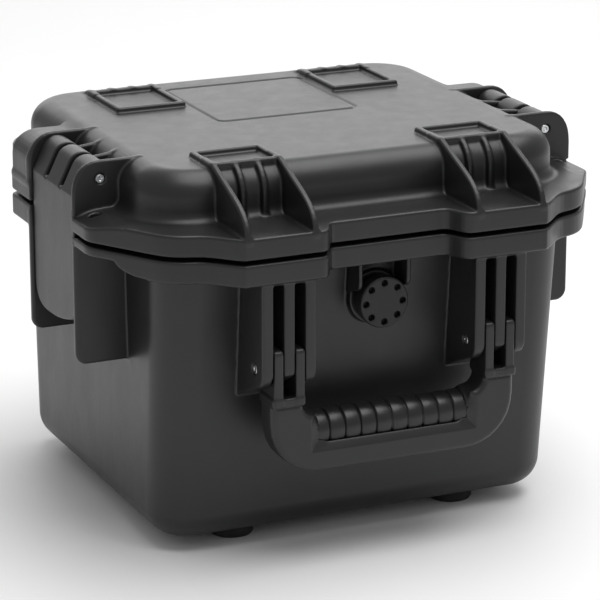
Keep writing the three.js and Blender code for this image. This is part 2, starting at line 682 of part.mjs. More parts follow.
// ---- handle ----
function handleFrame() {
  const outline = new THREE.Shape();
  const { armOuter, armInner, bottom, forkBottom } = HANDLE;
  const { bendTop, bendLow, bendX, bendPull, innerX, innerZ } = HANDLE;
  outline.moveTo(armOuter, forkBottom);
  outline.lineTo(armInner, forkBottom);
  outline.bezierCurveTo(armInner - 1.2, innerZ + 2.3, innerX + 6, innerZ + 0.4, innerX, innerZ);
  outline.lineTo(-innerX, innerZ);
  outline.bezierCurveTo(-innerX - 6, innerZ + 0.4, 1.2 - armInner, innerZ + 2.3, -armInner, forkBottom);
  outline.lineTo(-armOuter, forkBottom);
  outline.lineTo(-armOuter, bendTop);
  outline.bezierCurveTo(-armOuter, bendLow, -bendPull, bottom, -bendX, bottom);
  outline.lineTo(bendX, bottom);
  outline.bezierCurveTo(bendPull, bottom, armOuter, bendLow, armOuter, bendTop);
  const frame = prism(outline, HANDLE.front, HANDLE.back, "y");
  const gripRoom = cylinder("x", [GRIP.centreY, GRIP.centreZ], GRIP.radius + FIT_GAP,
    -GRIP.halfLength - FIT_GAP, GRIP.halfLength + FIT_GAP, 24);
  const gripEnd = GRIP.halfLength + FIT_GAP;
  const aboveGrip = box([-gripEnd, gripEnd], [HANDLE.front - 5, HANDLE.back + 5], [HANDLE.ledge, 80]);
  const core = cylinder("x", [GRIP.centreY, GRIP.centreZ], GRIP.bore - FIT_GAP, -GRIP.halfLength - 2,
    GRIP.halfLength + 2);
  return join(cut(frame, gripRoom, aboveGrip), core, ...SIDES.map(handleFork));
}

// Two prongs that straddle the middle rib of a block, on a shoulder a little wider than the arm.
function handleFork(side) {
  const { prong, pivotY, pivotZ, shoulder, forkBottom, forkFront, forkTop, tipRadius, back } = HANDLE;
  const profile = new THREE.Shape();
  profile.moveTo(back, forkBottom - 1);
  profile.lineTo(back, pivotZ + 2);
  profile.bezierCurveTo(back, forkTop - 3, pivotY + 3, forkTop, pivotY - 1.5, forkTop);
  profile.lineTo(forkFront + tipRadius, forkTop);
  profile.quadraticCurveTo(forkFront, forkTop, forkFront, forkTop - tipRadius);
  profile.lineTo(forkFront, forkBottom - 1);
  const prongs = handleSlots().map(([from, to]) => {
    const centre = (from + to) / 2;
    return prism(profile, ...span(side, centre - prong / 2, centre + prong / 2), "x");
  });
  const base = box([side * (HANDLE.armInner - shoulder), side * (HANDLE.armOuter + shoulder)],
    [forkFront, back + shoulder], [forkBottom, HANDLE.shoulderTop]);
  const hole = cylinder("x", [pivotY, pivotZ], PIN_RADIUS + PIN_CLEARANCE,
    ...span(side, 44, 67));
  return cut(join(...prongs, base), hole);
}

function handleGrip() {
  const { halfLength, radius, bore, grooves, groovePitch, grooveDepth, grooveWidth } = GRIP;
  const profile = [[bore, -halfLength], [radius - 0.8, -halfLength], [radius, 0.8 - halfLength]];
  for (let i = 0; i < grooves; i += 1) {
    const centre = (i - (grooves - 1) / 2) * groovePitch;
    profile.push([radius, centre - grooveWidth], [radius - grooveDepth, centre - grooveWidth / 3]);
    profile.push([radius - grooveDepth, centre + grooveWidth / 3], [radius, centre + grooveWidth]);
  }
  profile.push([radius, halfLength - 0.8], [radius - 0.8, halfLength]);
  profile.push([bore, halfLength], [bore, -halfLength]);
  const geometry = new THREE.LatheGeometry(profile.map(([r, along]) => new THREE.Vector2(r, along)), 16);
  geometry.rotateZ(-Math.PI / 2);
  geometry.translate(0, GRIP.centreY, GRIP.centreZ);
  return solid(geometry);
}

// ---- valve ----
function valveBody() {
  const flange = cylinder("y", [0, VALVE.z], 10.5, -102.3, -100.3);
  const shank = cylinder("y", [0, VALVE.z], VALVE.shank, -101, -84.6);
  return cut(join(flange, shank), cylinder("y", [0, VALVE.z], VALVE.bore, -103, -84));
}

function valveKnob() {
  const cap = cylinder("y", [0, VALVE.z], VALVE.knobRadius, VALVE.knobFront, VALVE.knobBack, 32);
  const stem = cylinder("y", [0, VALVE.z], VALVE.bore - FIT_GAP - 0.1, VALVE.knobBack - 1, -92);
  const holes = Array.from({ length: VALVE.holes }, (_, i) => {
    const angle = i * 2 * Math.PI / VALVE.holes;
    return cylinder("y", [VALVE.holeCircle * Math.cos(angle), VALVE.z + VALVE.holeCircle * Math.sin(angle)],
      VALVE.holeRadius, VALVE.knobFront - 1, VALVE.knobFront + 3.5, 10);
  });
  return cut(join(cap, stem), ...holes);
}

function valveSeal() {
  const disc = cylinder("y", [0, VALVE.z], 10.2, -100, -98.8);
  return cut(disc, cylinder("y", [0, VALVE.z], VALVE.shank + FIT_GAP, -101, -98));
}

function valveNut() {
  const hexagon = cylinder("y", [0, VALVE.z], 10.4, -89.1, -85.6, 6);
  return cut(hexagon, cylinder("y", [0, VALVE.z], VALVE.shank + FIT_GAP, -90, -85));
}

// ---- feet ----
function foot([x, y]) {
  const bore = FOOT.screwShank + FIT_GAP;
  const top = BASE.bottom - FIT_GAP;
  const profile = [
    [bore, FOOT.sinkDepth], [FOOT.sinkRadius, FOOT.sinkDepth], [FOOT.sinkRadius, 0], [FOOT.radius - 1, 0],
    [FOOT.radius, 1], [FOOT.radius - 0.4, top], [bore, top], [bore, FOOT.sinkDepth],
  ];
  const geometry = new THREE.LatheGeometry(profile.map(([r, z]) => new THREE.Vector2(r, z)), ROUND_SEGMENTS);
  geometry.rotateX(Math.PI / 2);
  geometry.translate(x, y, 0);
  return solid(geometry);
}

function footScrew(place) {
  const head = cylinder("z", place, FOOT.screwHead, FOOT.headBottom, FOOT.headTop, 16);
  const shank = cylinder("z", place, FOOT.screwShank, FOOT.headTop - 0.3, FOOT.screwTop, 12);
  return join(head, shank);
}

// ---- tray ----
function trayBody() {
  const size = (wall) => ({
    halfX: TRAY.halfX - wall, front: TRAY.front + wall, back: TRAY.back - wall,
    radius: TRAY.cornerRadius - wall,
  });
  const outer = roundedPrism(size(0), TRAY.bottom, TRAY.top);
  const room = roundedPrism(size(TRAY.wall), TRAY.bottom + TRAY.wall, TRAY.top + 1);
  const rib = box([TRAY.wall - TRAY.halfX - 1, TRAY.halfX - TRAY.wall + 1],
    [TRAY.ribY - TRAY.wall / 2, TRAY.ribY + TRAY.wall / 2], [TRAY.bottom + 1, TRAY.top - 4]);
  const guides = dividerPlaces().flatMap(({ x, from, to }) => SIDES.flatMap((side) => [
    box([x + side * 1.3, x + side * 3], [from - 1, from + TRAY.groove], [TRAY.bottom + 1, TRAY.top - 4]),
    box([x + side * 1.3, x + side * 3], [to - TRAY.groove, to + 1], [TRAY.bottom + 1, TRAY.top - 4]),
  ]));
  const notches = SIDES.map((side) => box([side * (TRAY.halfX - 6), side * (TRAY.halfX + 1)],
    [TRAY.notchY - TRAY.notchHalf, TRAY.notchY + TRAY.notchHalf],
    [TRAY.top - TRAY.notchDepth, TRAY.top + 1]));
  return cut(join(cut(outer, room), rib, ...guides), ...notches);
}

// Removable dividers: one in the front row, two in the back row.
function dividerPlaces() {
  const front = { from: TRAY.front + TRAY.wall, to: TRAY.ribY - TRAY.wall / 2 };
  const back = { from: TRAY.ribY + TRAY.wall / 2, to: TRAY.back - TRAY.wall };
  return [
    { name: "front", x: 0, ...front },
    { name: "left", x: -TRAY.dividerX, ...back },
    { name: "right", x: TRAY.dividerX, ...back },
  ];
}

function divider({ x, from, to }) {
  const bottom = TRAY.bottom + TRAY.wall + FIT_GAP;
  return box([x - TRAY.dividerThickness / 2, x + TRAY.dividerThickness / 2], [from + FIT_GAP, to - FIT_GAP],
    [bottom, bottom + TRAY.dividerHeight - 1]);
}

// ---- assembly ----
const FINISH = {
  shell: { color: 0x36383a, roughness: 0.5, metalness: 0 },
  latch: { color: 0x3a3c3e, roughness: 0.46, metalness: 0 },
  handle: { color: 0x323436, roughness: 0.5, metalness: 0 },
  grip: { color: 0x2a2b2c, roughness: 0.7, metalness: 0 },
  rubber: { color: 0x141414, roughness: 0.85, metalness: 0 },
  steel: { color: 0xc9cbcd, roughness: 0.3, metalness: 1 },
  tray: { color: 0x2f3133, roughness: 0.55, metalness: 0 },
};

const object = new THREE.Group();

function place(name, body, finish) {
  const mesh = new THREE.Mesh(toGeometry(body), new THREE.MeshStandardMaterial(FINISH[finish]));
  mesh.name = name;
  object.add(mesh);
}

const sideName = (side) => (side < 0 ? "left" : "right");

place("base_shell", baseShell(), "shell");
place("lid_shell", lidShell(), "shell");
place("lid_gasket", sealRing(SEAL.ring, SEAL_Z.ringBottom, SEAL_Z.ringTop), "rubber");
place("handle_frame", handleFrame(), "handle");
place("handle_grip", handleGrip(), "grip");
place("valve_body", valveBody(), "shell");
place("valve_knob", valveKnob(), "shell");
place("valve_seal", valveSeal(), "rubber");
place("valve_nut", valveNut(), "shell");
place("tray_body", trayBody(), "tray");
for (const spot of dividerPlaces()) place(`tray_divider_${spot.name}`, divider(spot), "tray");

for (const side of SIDES) {
  const label = sideName(side);
  place(`latch_${label}`, latch(side), "latch");
  place(`latch_pin_${label}`,
    pin("y", [side * LATCH.pinX, LATCH.pinZ], LATCH.bayFront - 2.9, LATCH.bayBack + 2.9), "steel");
  place(`hinge_pin_${label}`,
    pin("x", [HINGE.y, HINGE.z], side * (HUMP.inner + 0.3), side * (HUMP.outer - 0.3)), "steel");
  const handlePin = pin("x", [HANDLE.pivotY, HANDLE.pivotZ],
    side * (BLOCK.inner + 0.4), side * (BLOCK.outer - 0.4));
  place(`handle_pin_${label}`, handlePin, "steel");
}

for (const spot of footPlaces()) {
  const label = `${spot[1] < 0 ? "front" : "rear"}_${sideName(spot[0])}`;
  place(`foot_${label}`, foot(spot), "rubber");
  place(`foot_screw_${label}`, footScrew(spot), "steel");
}

export default object;
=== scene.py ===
"""Rugged moulded tool case: smooth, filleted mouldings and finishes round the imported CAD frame.

The mouldings are worked out as distance fields in millimetres, which give every edge and corner its
own radius, and are then meshed in metres in the frame's own axes: +Z up, -Y the front.
"""
import json
import math

import bmesh
import bpy
import numpy as np
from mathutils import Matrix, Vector


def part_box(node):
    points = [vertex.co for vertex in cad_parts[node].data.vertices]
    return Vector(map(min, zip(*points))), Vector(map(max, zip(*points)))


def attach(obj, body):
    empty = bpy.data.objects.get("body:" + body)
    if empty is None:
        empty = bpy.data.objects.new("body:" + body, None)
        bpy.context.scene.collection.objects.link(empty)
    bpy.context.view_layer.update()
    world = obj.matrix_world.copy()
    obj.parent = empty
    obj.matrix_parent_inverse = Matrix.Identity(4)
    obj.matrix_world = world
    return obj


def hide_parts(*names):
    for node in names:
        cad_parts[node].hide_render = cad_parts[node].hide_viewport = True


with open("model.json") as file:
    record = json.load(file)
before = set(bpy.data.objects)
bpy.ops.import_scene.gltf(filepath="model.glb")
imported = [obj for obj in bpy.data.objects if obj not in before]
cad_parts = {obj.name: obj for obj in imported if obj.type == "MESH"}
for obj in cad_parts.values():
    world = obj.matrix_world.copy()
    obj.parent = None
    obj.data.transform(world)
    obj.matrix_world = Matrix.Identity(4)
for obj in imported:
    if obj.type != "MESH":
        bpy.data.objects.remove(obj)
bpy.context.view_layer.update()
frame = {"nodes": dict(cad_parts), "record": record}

MM = 0.001
FAR = 1e3
COARSE = 1.0

# ---- dimensions in millimetres, as the frame has them ----
WALL = 3.2
PIN = 2.3
PIN_ROOM = 0.2
BASE = dict(bottom=6.0, floor=3.6, rim=155.0, band=144.2, plate=150.5, radius=20.4, edge=14.5, tub_top=153.0,
            half=(106.0, 107.6), front=(-86.0, -97.4), back=(106.0, 107.6), heights=(20.5, 151.5))
LID = dict(bottom=157.0, plate=164.0, flange=167.5, top=190.8, half=110.0, front=-89.4, back=102.6,
           radius=28.0, edge=12.5)
FLANGE = dict(front=-112.9, hump_front=-124.9, side=117.3, back=114.6)
FADE = dict(start=-93.0, end=-77.4, x=100.0)
CORNER = dict(front=-80.0, back=-46.3, inner=121.0)
SIDE_X = 133.5
LUG_END = 42.0
BAY = (-43.1, 15.8)
SKIRT = 3.0
SEAL = dict(half=110.6, front=-100.2, back=110.0, radius=23.0, groove=1.9, groove_bottom=152.4,
            wall=2.2, tongue=1.1, tongue_bottom=155.5)
HUMP = dict(inner=41.0, outer=78.0, rib=3.2, top=193.4, bar=3.3, inner_rise=2.6)
HUMP_FRAMES = ((-82.6, -55.4), (38.6, 81.6))
FIELD = dict(half=38.0, front=2.0, back=77.0, turn=5.0, groove=0.85, bottom=190.05)
HINGE = dict(y=119.2, z=162.6, radius=5.7, gap=0.45)
LATCH = dict(x=119.4, z=182.0, outer=132.0, inner=127.4, crease=173.5, low=105.6, knuckle=7.6,
             gap=0.5, tangent=26.0, slot=2.2)
EAR = dict(thickness=3.2, radius=5.2, top=190.9)
BUMPER_TOP = 187.5
POCKET = dict(front=-48.0, bottom=151.6, inner=127.0, outer=132.4)
PADLOCK = dict(x=124.5, y=-52.0, radius=2.4, stretch=1.33)
FIN = dict(thickness=3.5, bottom=91.0, turn=5.5)
BLOCK = dict(inner=41.6, outer=69.1, rib=5.6, front=-122.9, bottom=92.0, turn=8.0, slot_back=-100.5,
             slot_top=142.8)
HANDLE = dict(y=-112.2, z=100.3, front=-121.9, back=-106.5, outer=63.9, inner=47.7, bottom=48.0)
FORK = dict(front=-123.2, top=111.0, low=82.7, shoulder=87.2, half_prong=2.35)
GRIP = dict(half=41.0, radius=9.2, y=-110.6, z=66.0, pitch=8.2, grooves=9, core=5.0, bore=5.4)
VALVE = dict(z=123.5, pad=13.4, pad_front=-98.5, pad_back=-89.4, bore=7.3, knob=12.65, knob_front=-109.4,
             knob_back=-102.7, stem=3.3, holes=8, hole_circle=9.6, hole=1.6, hole_end=-105.9)
GUSSET = dict(low=11.55, high=13.75, front=-109.6, turn=5.0)
TRAY = dict(half=98.0, front=-80.5, back=97.0, low=124.0, top=152.0, radius=16.0, wall=2.2, rib=(6.9, 9.1),
            rise=4.0, groove=1.1, guide=(1.3, 3.0), divider_x=33.0)
FOOT = dict(x=60.2, ys=(-61.8, 81.8), boss=5.2, screw=2.2)

# ---- light ----
SURROUNDINGS = 0.43


# ---- distance fields ----
def length(a, b):
    return np.sqrt(a * a + b * b)


def both(a, b, radius=0.0):
    """Where two shapes meet, with their shared outer edge rounded."""
    if radius <= 0:
        return np.maximum(a, b)
    corner = length(np.maximum(a + radius, 0), np.maximum(b + radius, 0))
    return np.minimum(np.maximum(a, b), -radius) + corner


def either(a, b, radius=0.0):
    """Two shapes joined, with a fillet along the inner corner."""
    if radius <= 0:
        return np.minimum(a, b)
    corner = length(np.maximum(radius - a, 0), np.maximum(radius - b, 0))
    return np.maximum(np.minimum(a, b), radius) - corner


def between(value, low, high):
    return np.maximum(low - value, value - high)


def slab(value, low, high):
    return between(value, min(low, high), max(low, high))


def rectangle(u, v, us, vs, radius):
    """A rounded rectangle between two values on each axis."""
    half_u, half_v = abs(us[1] - us[0]) / 2 - radius, abs(vs[1] - vs[0]) / 2 - radius
    qu = np.abs(u - (us[0] + us[1]) / 2) - half_u
    qv = np.abs(v - (vs[0] + vs[1]) / 2) - half_v
    return length(np.maximum(qu, 0), np.maximum(qv, 0)) + np.minimum(np.maximum(qu, qv), 0) - radius


def block(x, y, z, xs, ys, zs, radius=0.6):
    return both(rectangle(x, y, xs, ys, radius), slab(z, *zs), radius)


def polygon(u, v, points):
    """Signed distance to a closed outline."""
    corners = np.array(points, float)
    u, v = np.broadcast_arrays(u, v)
    nearest = np.full(u.shape, FAR * FAR)
    inside = np.zeros(u.shape, bool)
    for (ax, ay), (bx, by) in zip(corners, np.roll(corners, -1, axis=0)):
        ex, ey = bx - ax, by - ay
        share = np.clip(((u - ax) * ex + (v - ay) * ey) / (ex * ex + ey * ey + 1e-12), 0, 1)
        nearest = np.minimum(nearest, (u - ax - share * ex) ** 2 + (v - ay - share * ey) ** 2)
        crosses = (ay > v) != (by > v)
        inside ^= crosses & (u < ex * (v - ay) / (ey if ey else 1e-12) + ax)
    return np.where(inside, -1, 1) * np.sqrt(nearest)


def bezier(a, b, c, d, steps=8):
    """Points on a cubic curve, without its first point."""
    t = (np.arange(steps) + 1)[:, None] / steps
    a, b, c, d = (np.array(p, float) for p in (a, b, c, d))
    return ((1 - t) ** 3 * a + 3 * (1 - t) ** 2 * t * b + 3 * (1 - t) * t ** 2 * c + t ** 3 * d).tolist()


def arc(centre, radius, start, end, steps=8):
    angles = np.radians(np.linspace(start, end, steps + 1))
    return [(centre[0] + radius * math.cos(a), centre[1] + radius * math.sin(a)) for a in angles]


class Volume:
    """A distance field on a grid. With mirror on, it holds the right half of a shape that is even in x.

    Each add and cut may say the lowest and highest corner of the box that its shape reaches.
    """

    def __init__(self, low, high, step, mirror=False):
        self.step, self.mirror = step, mirror
        counts = [int(math.ceil((b - a) / step)) + 1 for a, b in zip(low, high)]
        self.axes = [low[i] + step * np.arange(counts[i]) for i in range(3)]
        self.value = np.full(counts, FAR, np.float32)

    def window(self, low, high):
        """The part of the grid in a box, as slices and open coordinate arrays."""
        cuts = []
        for axis, a, b in zip(self.axes, low, high):
            first, last = np.searchsorted(axis, (a - 3 * self.step, b + 3 * self.step))
            cuts.append(slice(max(first - 1, 0), last + 1))
        x, y, z = (self.axes[i][cuts[i]] for i in range(3))
        return tuple(cuts), x[:, None, None], y[None, :, None], z[None, None, :]

    def whole(self):
        return [a[0] for a in self.axes], [a[-1] for a in self.axes]

    def add(self, shape, low=None, high=None, fillet=0.0):
        low, high = (low, high) if low is not None else self.whole()
        cuts, x, y, z = self.window([v - fillet for v in low], [v + fillet for v in high])
        self.value[cuts] = either(self.value[cuts], shape(x, y, z), fillet)

    def cut(self, shape, low=None, high=None, edge=0.0):
        low, high = (low, high) if low is not None else self.whole()
        cuts, x, y, z = self.window([v - edge for v in low], [v + edge for v in high])
        self.value[cuts] = both(self.value[cuts], -shape(x, y, z), edge)

    def closed(self):
        """The field with its other half, and air all round."""
        value, x = self.value, self.axes[0]
        if self.mirror:
            value = np.concatenate([value[:0:-1], value])
            x = np.concatenate([-x[:0:-1], x])
        return np.pad(value, 1, constant_values=FAR), [a[0] - self.step for a in (x, *self.axes[1:])]


def surface(value, start, step):
    """A quad mesh of a field's zero surface: one point in each cell that it crosses."""
    inside = value < 0
    cell = tuple(n - 1 for n in value.shape)
    corners = [(i, j, k) for i in (0, 1) for j in (0, 1) for k in (0, 1)]
    part = lambda array, c: array[c[0]:c[0] + cell[0], c[1]:c[1] + cell[1], c[2]:c[2] + cell[2]]
    count = np.zeros(cell, np.uint8)
    for c in corners:
        count += part(inside, c)
    active = np.argwhere((count > 0) & (count < len(corners)))
    number = np.full(cell, -1, np.int32)
    number[tuple(active.T)] = np.arange(len(active))
    held = {c: value[tuple((active + c).T)].astype(float) for c in corners}
    total, crossings = np.zeros((len(active), 3)), np.zeros(len(active))
    for a in corners:
        for axis in range(3):
            if a[axis]:
                continue
            b = tuple(1 if i == axis else a[i] for i in range(3))
            va, vb = held[a], held[b]
            crosses = (va < 0) != (vb < 0)
            share = np.where(crosses, va / np.where(crosses, va - vb, 1), 0)
            point = np.array(a, float) + share[:, None] * (np.array(b) - np.array(a))
            total += point * crosses[:, None]
            crossings += crosses
    points = np.array(start) + step * (active + total / crossings[:, None])
    faces = []
    for axis in range(3):
        u, v = (axis + 1) % 3, (axis + 2) % 3
        low = [slice(1, -1)] * 3
        high = [slice(1, -1)] * 3
        low[axis], high[axis] = slice(0, -1), slice(1, None)
        a, b = inside[tuple(low)], inside[tuple(high)]
        where = np.argwhere(a != b)
        filled = a[tuple(where.T)]
        where[:, u] += 1
        where[:, v] += 1
        ring = []
        for du, dv in ((0, 0), (-1, 0), (-1, -1), (0, -1)):
            shift = where.copy()
            shift[:, u] += du
            shift[:, v] += dv
            ring.append(number[tuple(shift.T)])
        quad = np.stack(ring, 1)
        quad[~filled] = quad[~filled][:, ::-1]
        faces.append(quad)
    return points, np.concatenate(faces)


def sample(value, start, step, points):
    """The field at any points, by trilinear interpolation."""
    place = (points - np.array(start)) / step
    place = np.clip(place, 0, np.array(value.shape) - 1.001)
    base = np.floor(place).astype(int)
    share = place - base
    found = np.zeros(len(points))
    for i in (0, 1):
        for j in (0, 1):
            for k in (0, 1):
                weight = (np.abs(1 - i - share[:, 0]) * np.abs(1 - j - share[:, 1])
                          * np.abs(1 - k - share[:, 2]))
                found += weight * value[base[:, 0] + i, base[:, 1] + j, base[:, 2] + k]
    return found


def slope(value, start, step, points):
    """The field's unit gradient at any points, which is the surface's normal."""
    reach = 0.6 * step
    grads = []
    for axis in range(3):
        shift = np.zeros(3)
        shift[axis] = reach
        ahead = sample(value, start, step, points + shift)
        behind = sample(value, start, step, points - shift)
        grads.append(ahead - behind)
    grad = np.stack(grads, 1)
    return grad / np.maximum(np.linalg.norm(grad, axis=1, keepdims=True), 1e-9)


def blender_mesh(name, points, faces):
    mesh = bpy.data.meshes.new(name)
    mesh.vertices.add(len(points))
    mesh.vertices.foreach_set("co", (points * MM).astype(np.float32).ravel())
    mesh.loops.add(faces.size)
    mesh.loops.foreach_set("vertex_index", faces.astype(np.int32).ravel())
    mesh.polygons.add(len(faces))
    mesh.polygons.foreach_set("loop_start", np.arange(0, faces.size, faces.shape[1], dtype=np.int32))
    mesh.update(calc_edges=True)
    return mesh


def link(name, mesh):
    piece = bpy.data.objects.new(name, mesh)
    bpy.context.scene.collection.objects.link(piece)
    return piece


def moulding(name, volume, keep):
    """A piece from a volume: meshed, thinned to a share of its faces, put back on the exact surface."""
    value, start = volume.closed()
    points, faces = surface(value, start, volume.step)
    rough = link(name + "_rough", blender_mesh(name + "_rough", points, faces))
    thin = rough.modifiers.new("thin", "DECIMATE")
    thin.ratio = keep
    bpy.context.view_layer.update()
    done = bpy.data.meshes.new_from_object(rough.evaluated_get(bpy.context.evaluated_depsgraph_get()))
    bpy.data.objects.remove(rough)
    done.name = name
    co = np.zeros(len(done.vertices) * 3, np.float32)
    done.vertices.foreach_get("co", co)
    co = co.reshape(-1, 3).astype(float) / MM
    normals = slope(value, start, volume.step, co)
    away = np.clip(sample(value, start, volume.step, co), -volume.step / 2, volume.step / 2)
    co -= normals * away[:, None]
    done.vertices.foreach_set("co", (co * MM).astype(np.float32).ravel())
    done.polygons.foreach_set("use_smooth", np.ones(len(done.polygons), bool))
    done.update()
    done.normals_split_custom_set_from_vertices(slope(value, start, volume.step, co).tolist())
    return link(name, done)


# ---- shared outlines ----
def flange_outline():
    """Right half of the plan of the flange, mirrored in use by the even volume."""
    front, hump, side, back = (FLANGE[k] for k in ("front", "hump_front", "side", "back"))
    points = [(-8, front), (28, front)]
    points += bezier((28, front), (33, front), (33, hump), (39, hump))
    points += [(78.5, hump)]
    points += bezier((78.5, hump), (86, -119.5), (90, -110.5), (98.8, -108.5))
    points += bezier((98.8, -108.5), (106, -106.5), (110.5, -102), (114, -96.2))
    points += [(131, -68.6)] + bezier((131, -68.6), (132.7, -65.9), (SIDE_X, -63.1), (SIDE_X, -60))
    points += [(SIDE_X, BAY[0]), (126, BAY[0]), (126, BAY[1]), (SIDE_X, BAY[1]), (SIDE_X, LUG_END)]
    points += bezier((SIDE_X, LUG_END), (SIDE_X, 48), (side, 48), (side, 60))
    points += [(side, 82.6)]
    points += bezier((side, 82.6), (side, 100.3), (103, back), (85.3, back))
    return points + [(-8, back)]


def flange(x, y, z, low, high, web):
    plan = polygon(x, y, flange_outline())
    band = both(plan, between(z, low, high), 1.1)
    return both(band, -both(plan + SKIRT, z - web), 0.5)


def seal_ring(x, y, z, half_width, low, high):
    half, depth = SEAL["half"], (SEAL["front"], SEAL["back"])
    ring = np.abs(rectangle(x, y, (-half, half), depth, SEAL["radius"]))
    return both(ring - half_width, between(z, low, high), 0.3)


def rib_starts():
    pitch = (HUMP["outer"] - HUMP["inner"] - HUMP["rib"]) / 3
    return [HUMP["inner"] + i * pitch for i in range(4)]


def ear_starts():
    first = BAY[0] - EAR["thickness"]
    return [first + i * (BAY[1] - first) / 3 for i in range(4)]


def pin_bore(a, b, along):
    """A round hole for a pin, from the two distances to its axis."""
    return length(a, b) - PIN - PIN_ROOM + 0 * along


def padlock_hole(x, y, z):
    across = (x - PADLOCK["x"]) / PADLOCK["stretch"]
    return length(across, y - PADLOCK["y"]) - PADLOCK["radius"] + 0 * z


# ---- base ----
def tub(x, y, z, wall):
    """The tub's outer surface, or its inner one when a wall is given."""
    low, high = BASE["heights"]
    share = np.clip((z - low) / (high - low), 0, 1.1)
    at = lambda pair: pair[0] + (pair[1] - pair[0]) * share
    radius = BASE["radius"] - wall
    front, back = at(BASE["front"]) + wall, at(BASE["back"]) - wall
    qx = x - (at(BASE["half"]) - wall - radius)
    qy = np.abs(y - (front + back) / 2) - ((back - front) / 2 - radius)
    plan = length(np.maximum(qx, 0), np.maximum(qy, 0)) + np.minimum(np.maximum(qx, qy), 0) - radius
    bottom = BASE["bottom"] + (BASE["floor"] if wall else 0)
    return both(plan, bottom - z, BASE["edge"] - wall)


def handle_slots():
    """The two slots of a handle block, each as its ends in x."""
    slot = (BLOCK["outer"] - BLOCK["inner"] - 3 * BLOCK["rib"]) / 2
    return [(BLOCK["inner"] + BLOCK["rib"] + i * (BLOCK["rib"] + slot),
             BLOCK["inner"] + (i + 1) * (BLOCK["rib"] + slot)) for i in range(2)]


def base_volume():
    v = Volume((0, -127, 4), (136, 127, 171), 0.9 * COARSE, mirror=True)
    v.add(lambda x, y, z: both(tub(x, y, z, 0), z - BASE["tub_top"]))
    add_fins(v)
    add_base_flange(v)
    add_blocks(v)
    add_gusset(v)
    add_valve_pad(v, 1.0)
    add_knuckles(v)
    v.cut(lambda x, y, z: both(tub(x, y, z, WALL), -FAR + 0 * z), None, None, 0.8)
    add_valve_pad(v, 0.0)
    v.cut(lambda x, y, z: length(x, z - VALVE["z"]) - VALVE["bore"] + 0 * y,
          (0, -101, 115), (8, -86, 132), 0.4)
    v.cut(lambda x, y, z: seal_ring(x, y, z, SEAL["groove"], SEAL["groove_bottom"], 158),
          (0, -104, 151), (115, 114, 157), 0.5)
    v.cut(padlock_hole, (119, -57, 149), (130, -47, 156), 0.4)
    cut_latch_pocket(v)
    add_tray_ledges(v)
    add_foot_bosses(v)
    return v


def add_fins(v):
    """A flat fin in front of each latch bay and one behind it."""
    bottom, turn, thickness = FIN["bottom"], FIN["turn"], FIN["thickness"]
    outline = [(100, 152), (SIDE_X, 152), (SIDE_X, bottom + turn)]
    outline += arc((SIDE_X - turn, bottom + turn), turn, 0, -90) + [(100, bottom)]
    for start in (BAY[0] - thickness, BAY[1]):
        v.add(lambda x, y, z: both(polygon(x, z, outline), slab(y, start, start + thickness), 0.9),
              (100, start, 90), (136, start + thickness, 153), 0.3)


def add_base_flange(v):
    """The flange of the rim, whose skirt fades out on the slanted corners ahead of the latch bays."""
    start, band, plate, bay = FADE["start"], BASE["band"], BASE["plate"], BAY[0] + 1
    fade = [(start, 140), (start, band)]
    fade += bezier((start, band), (-88, 144.6), (-80, 145.6), (FADE["end"], plate))
    fade += [(bay, plate), (bay, 140)]
    faded = lambda x, y, z: both(polygon(y, z, fade), FADE["x"] - x)
    v.add(lambda x, y, z: both(flange(x, y, z, band, BASE["rim"], plate), -faded(x, y, z), 0.8),
          (0, -127, 142), (136, 127, 156), 0.7)


def add_blocks(v):
    """The block under each front hump: three ribs with two slots for the ends of the handle."""
    inner, outer, front, low, turn = (BLOCK[k] for k in ("inner", "outer", "front", "bottom", "turn"))
    outline = [(-84, 153), (front, 153), (front, low + turn)]
    outline += arc((front + turn, low + turn), turn, 180, 262) + [(-84, low - 14)]
    v.add(lambda x, y, z: both(polygon(y, z, outline), slab(x, inner, outer), 1.0),
          (inner, front, 76), (outer, -84, 154), 0.3)
    slots = handle_slots()
    room = lambda y, z: rectangle(y, z, (front - 20, BLOCK["slot_back"]), (60, BLOCK["slot_top"]), 1.5)
    for a, b in slots:
        v.cut(lambda x, y, z: both(room(y, z), slab(x, a, b), 0.4), (a, front - 2, 70), (b, -99, 144), 0.7)
    first, last = slots[0][0], slots[1][1]
    lower = [(front - 9, low - 20), (front - 9, low + 12), (front + 12, low - 1), (-96, low - 20)]
    v.cut(lambda x, y, z: both(polygon(y, z, lower), slab(x, first + 0.1, last - 0.1), 0.5),
          (first, front - 3, 70), (last, -98, 106), 1.0)
    v.cut(lambda x, y, z: pin_bore(y - HANDLE["y"], z - HANDLE["z"], x),
          (inner - 2, HANDLE["y"] - 4, 96), (outer + 2, HANDLE["y"] + 4, 105), 0.3)


def add_gusset(v):
    """A thin web on each side of the valve, from the flange down to the wall."""
    front, turn = GUSSET["front"], GUSSET["turn"]
    profile = [(-88, 152), (front, 152), (front, 135)]
    profile += arc((front + turn, 134.5), turn, 180, 270) + [(-88, 124)]
    v.add(lambda x, y, z: both(polygon(y, z, profile), slab(x, GUSSET["low"], GUSSET["high"]), 0.8),
          (11, -110, 123), (14, -88, 153), 0.5)


def add_valve_pad(v, fillet):
    """The thick round pad of the wall that carries the valve."""
    v.add(lambda x, y, z: both(length(x, z - VALVE["z"]) - VALVE["pad"],
                               slab(y, VALVE["pad_front"], VALVE["pad_back"]), 0.6),
          (0, -99, 108), (16, -88, 139), fillet)


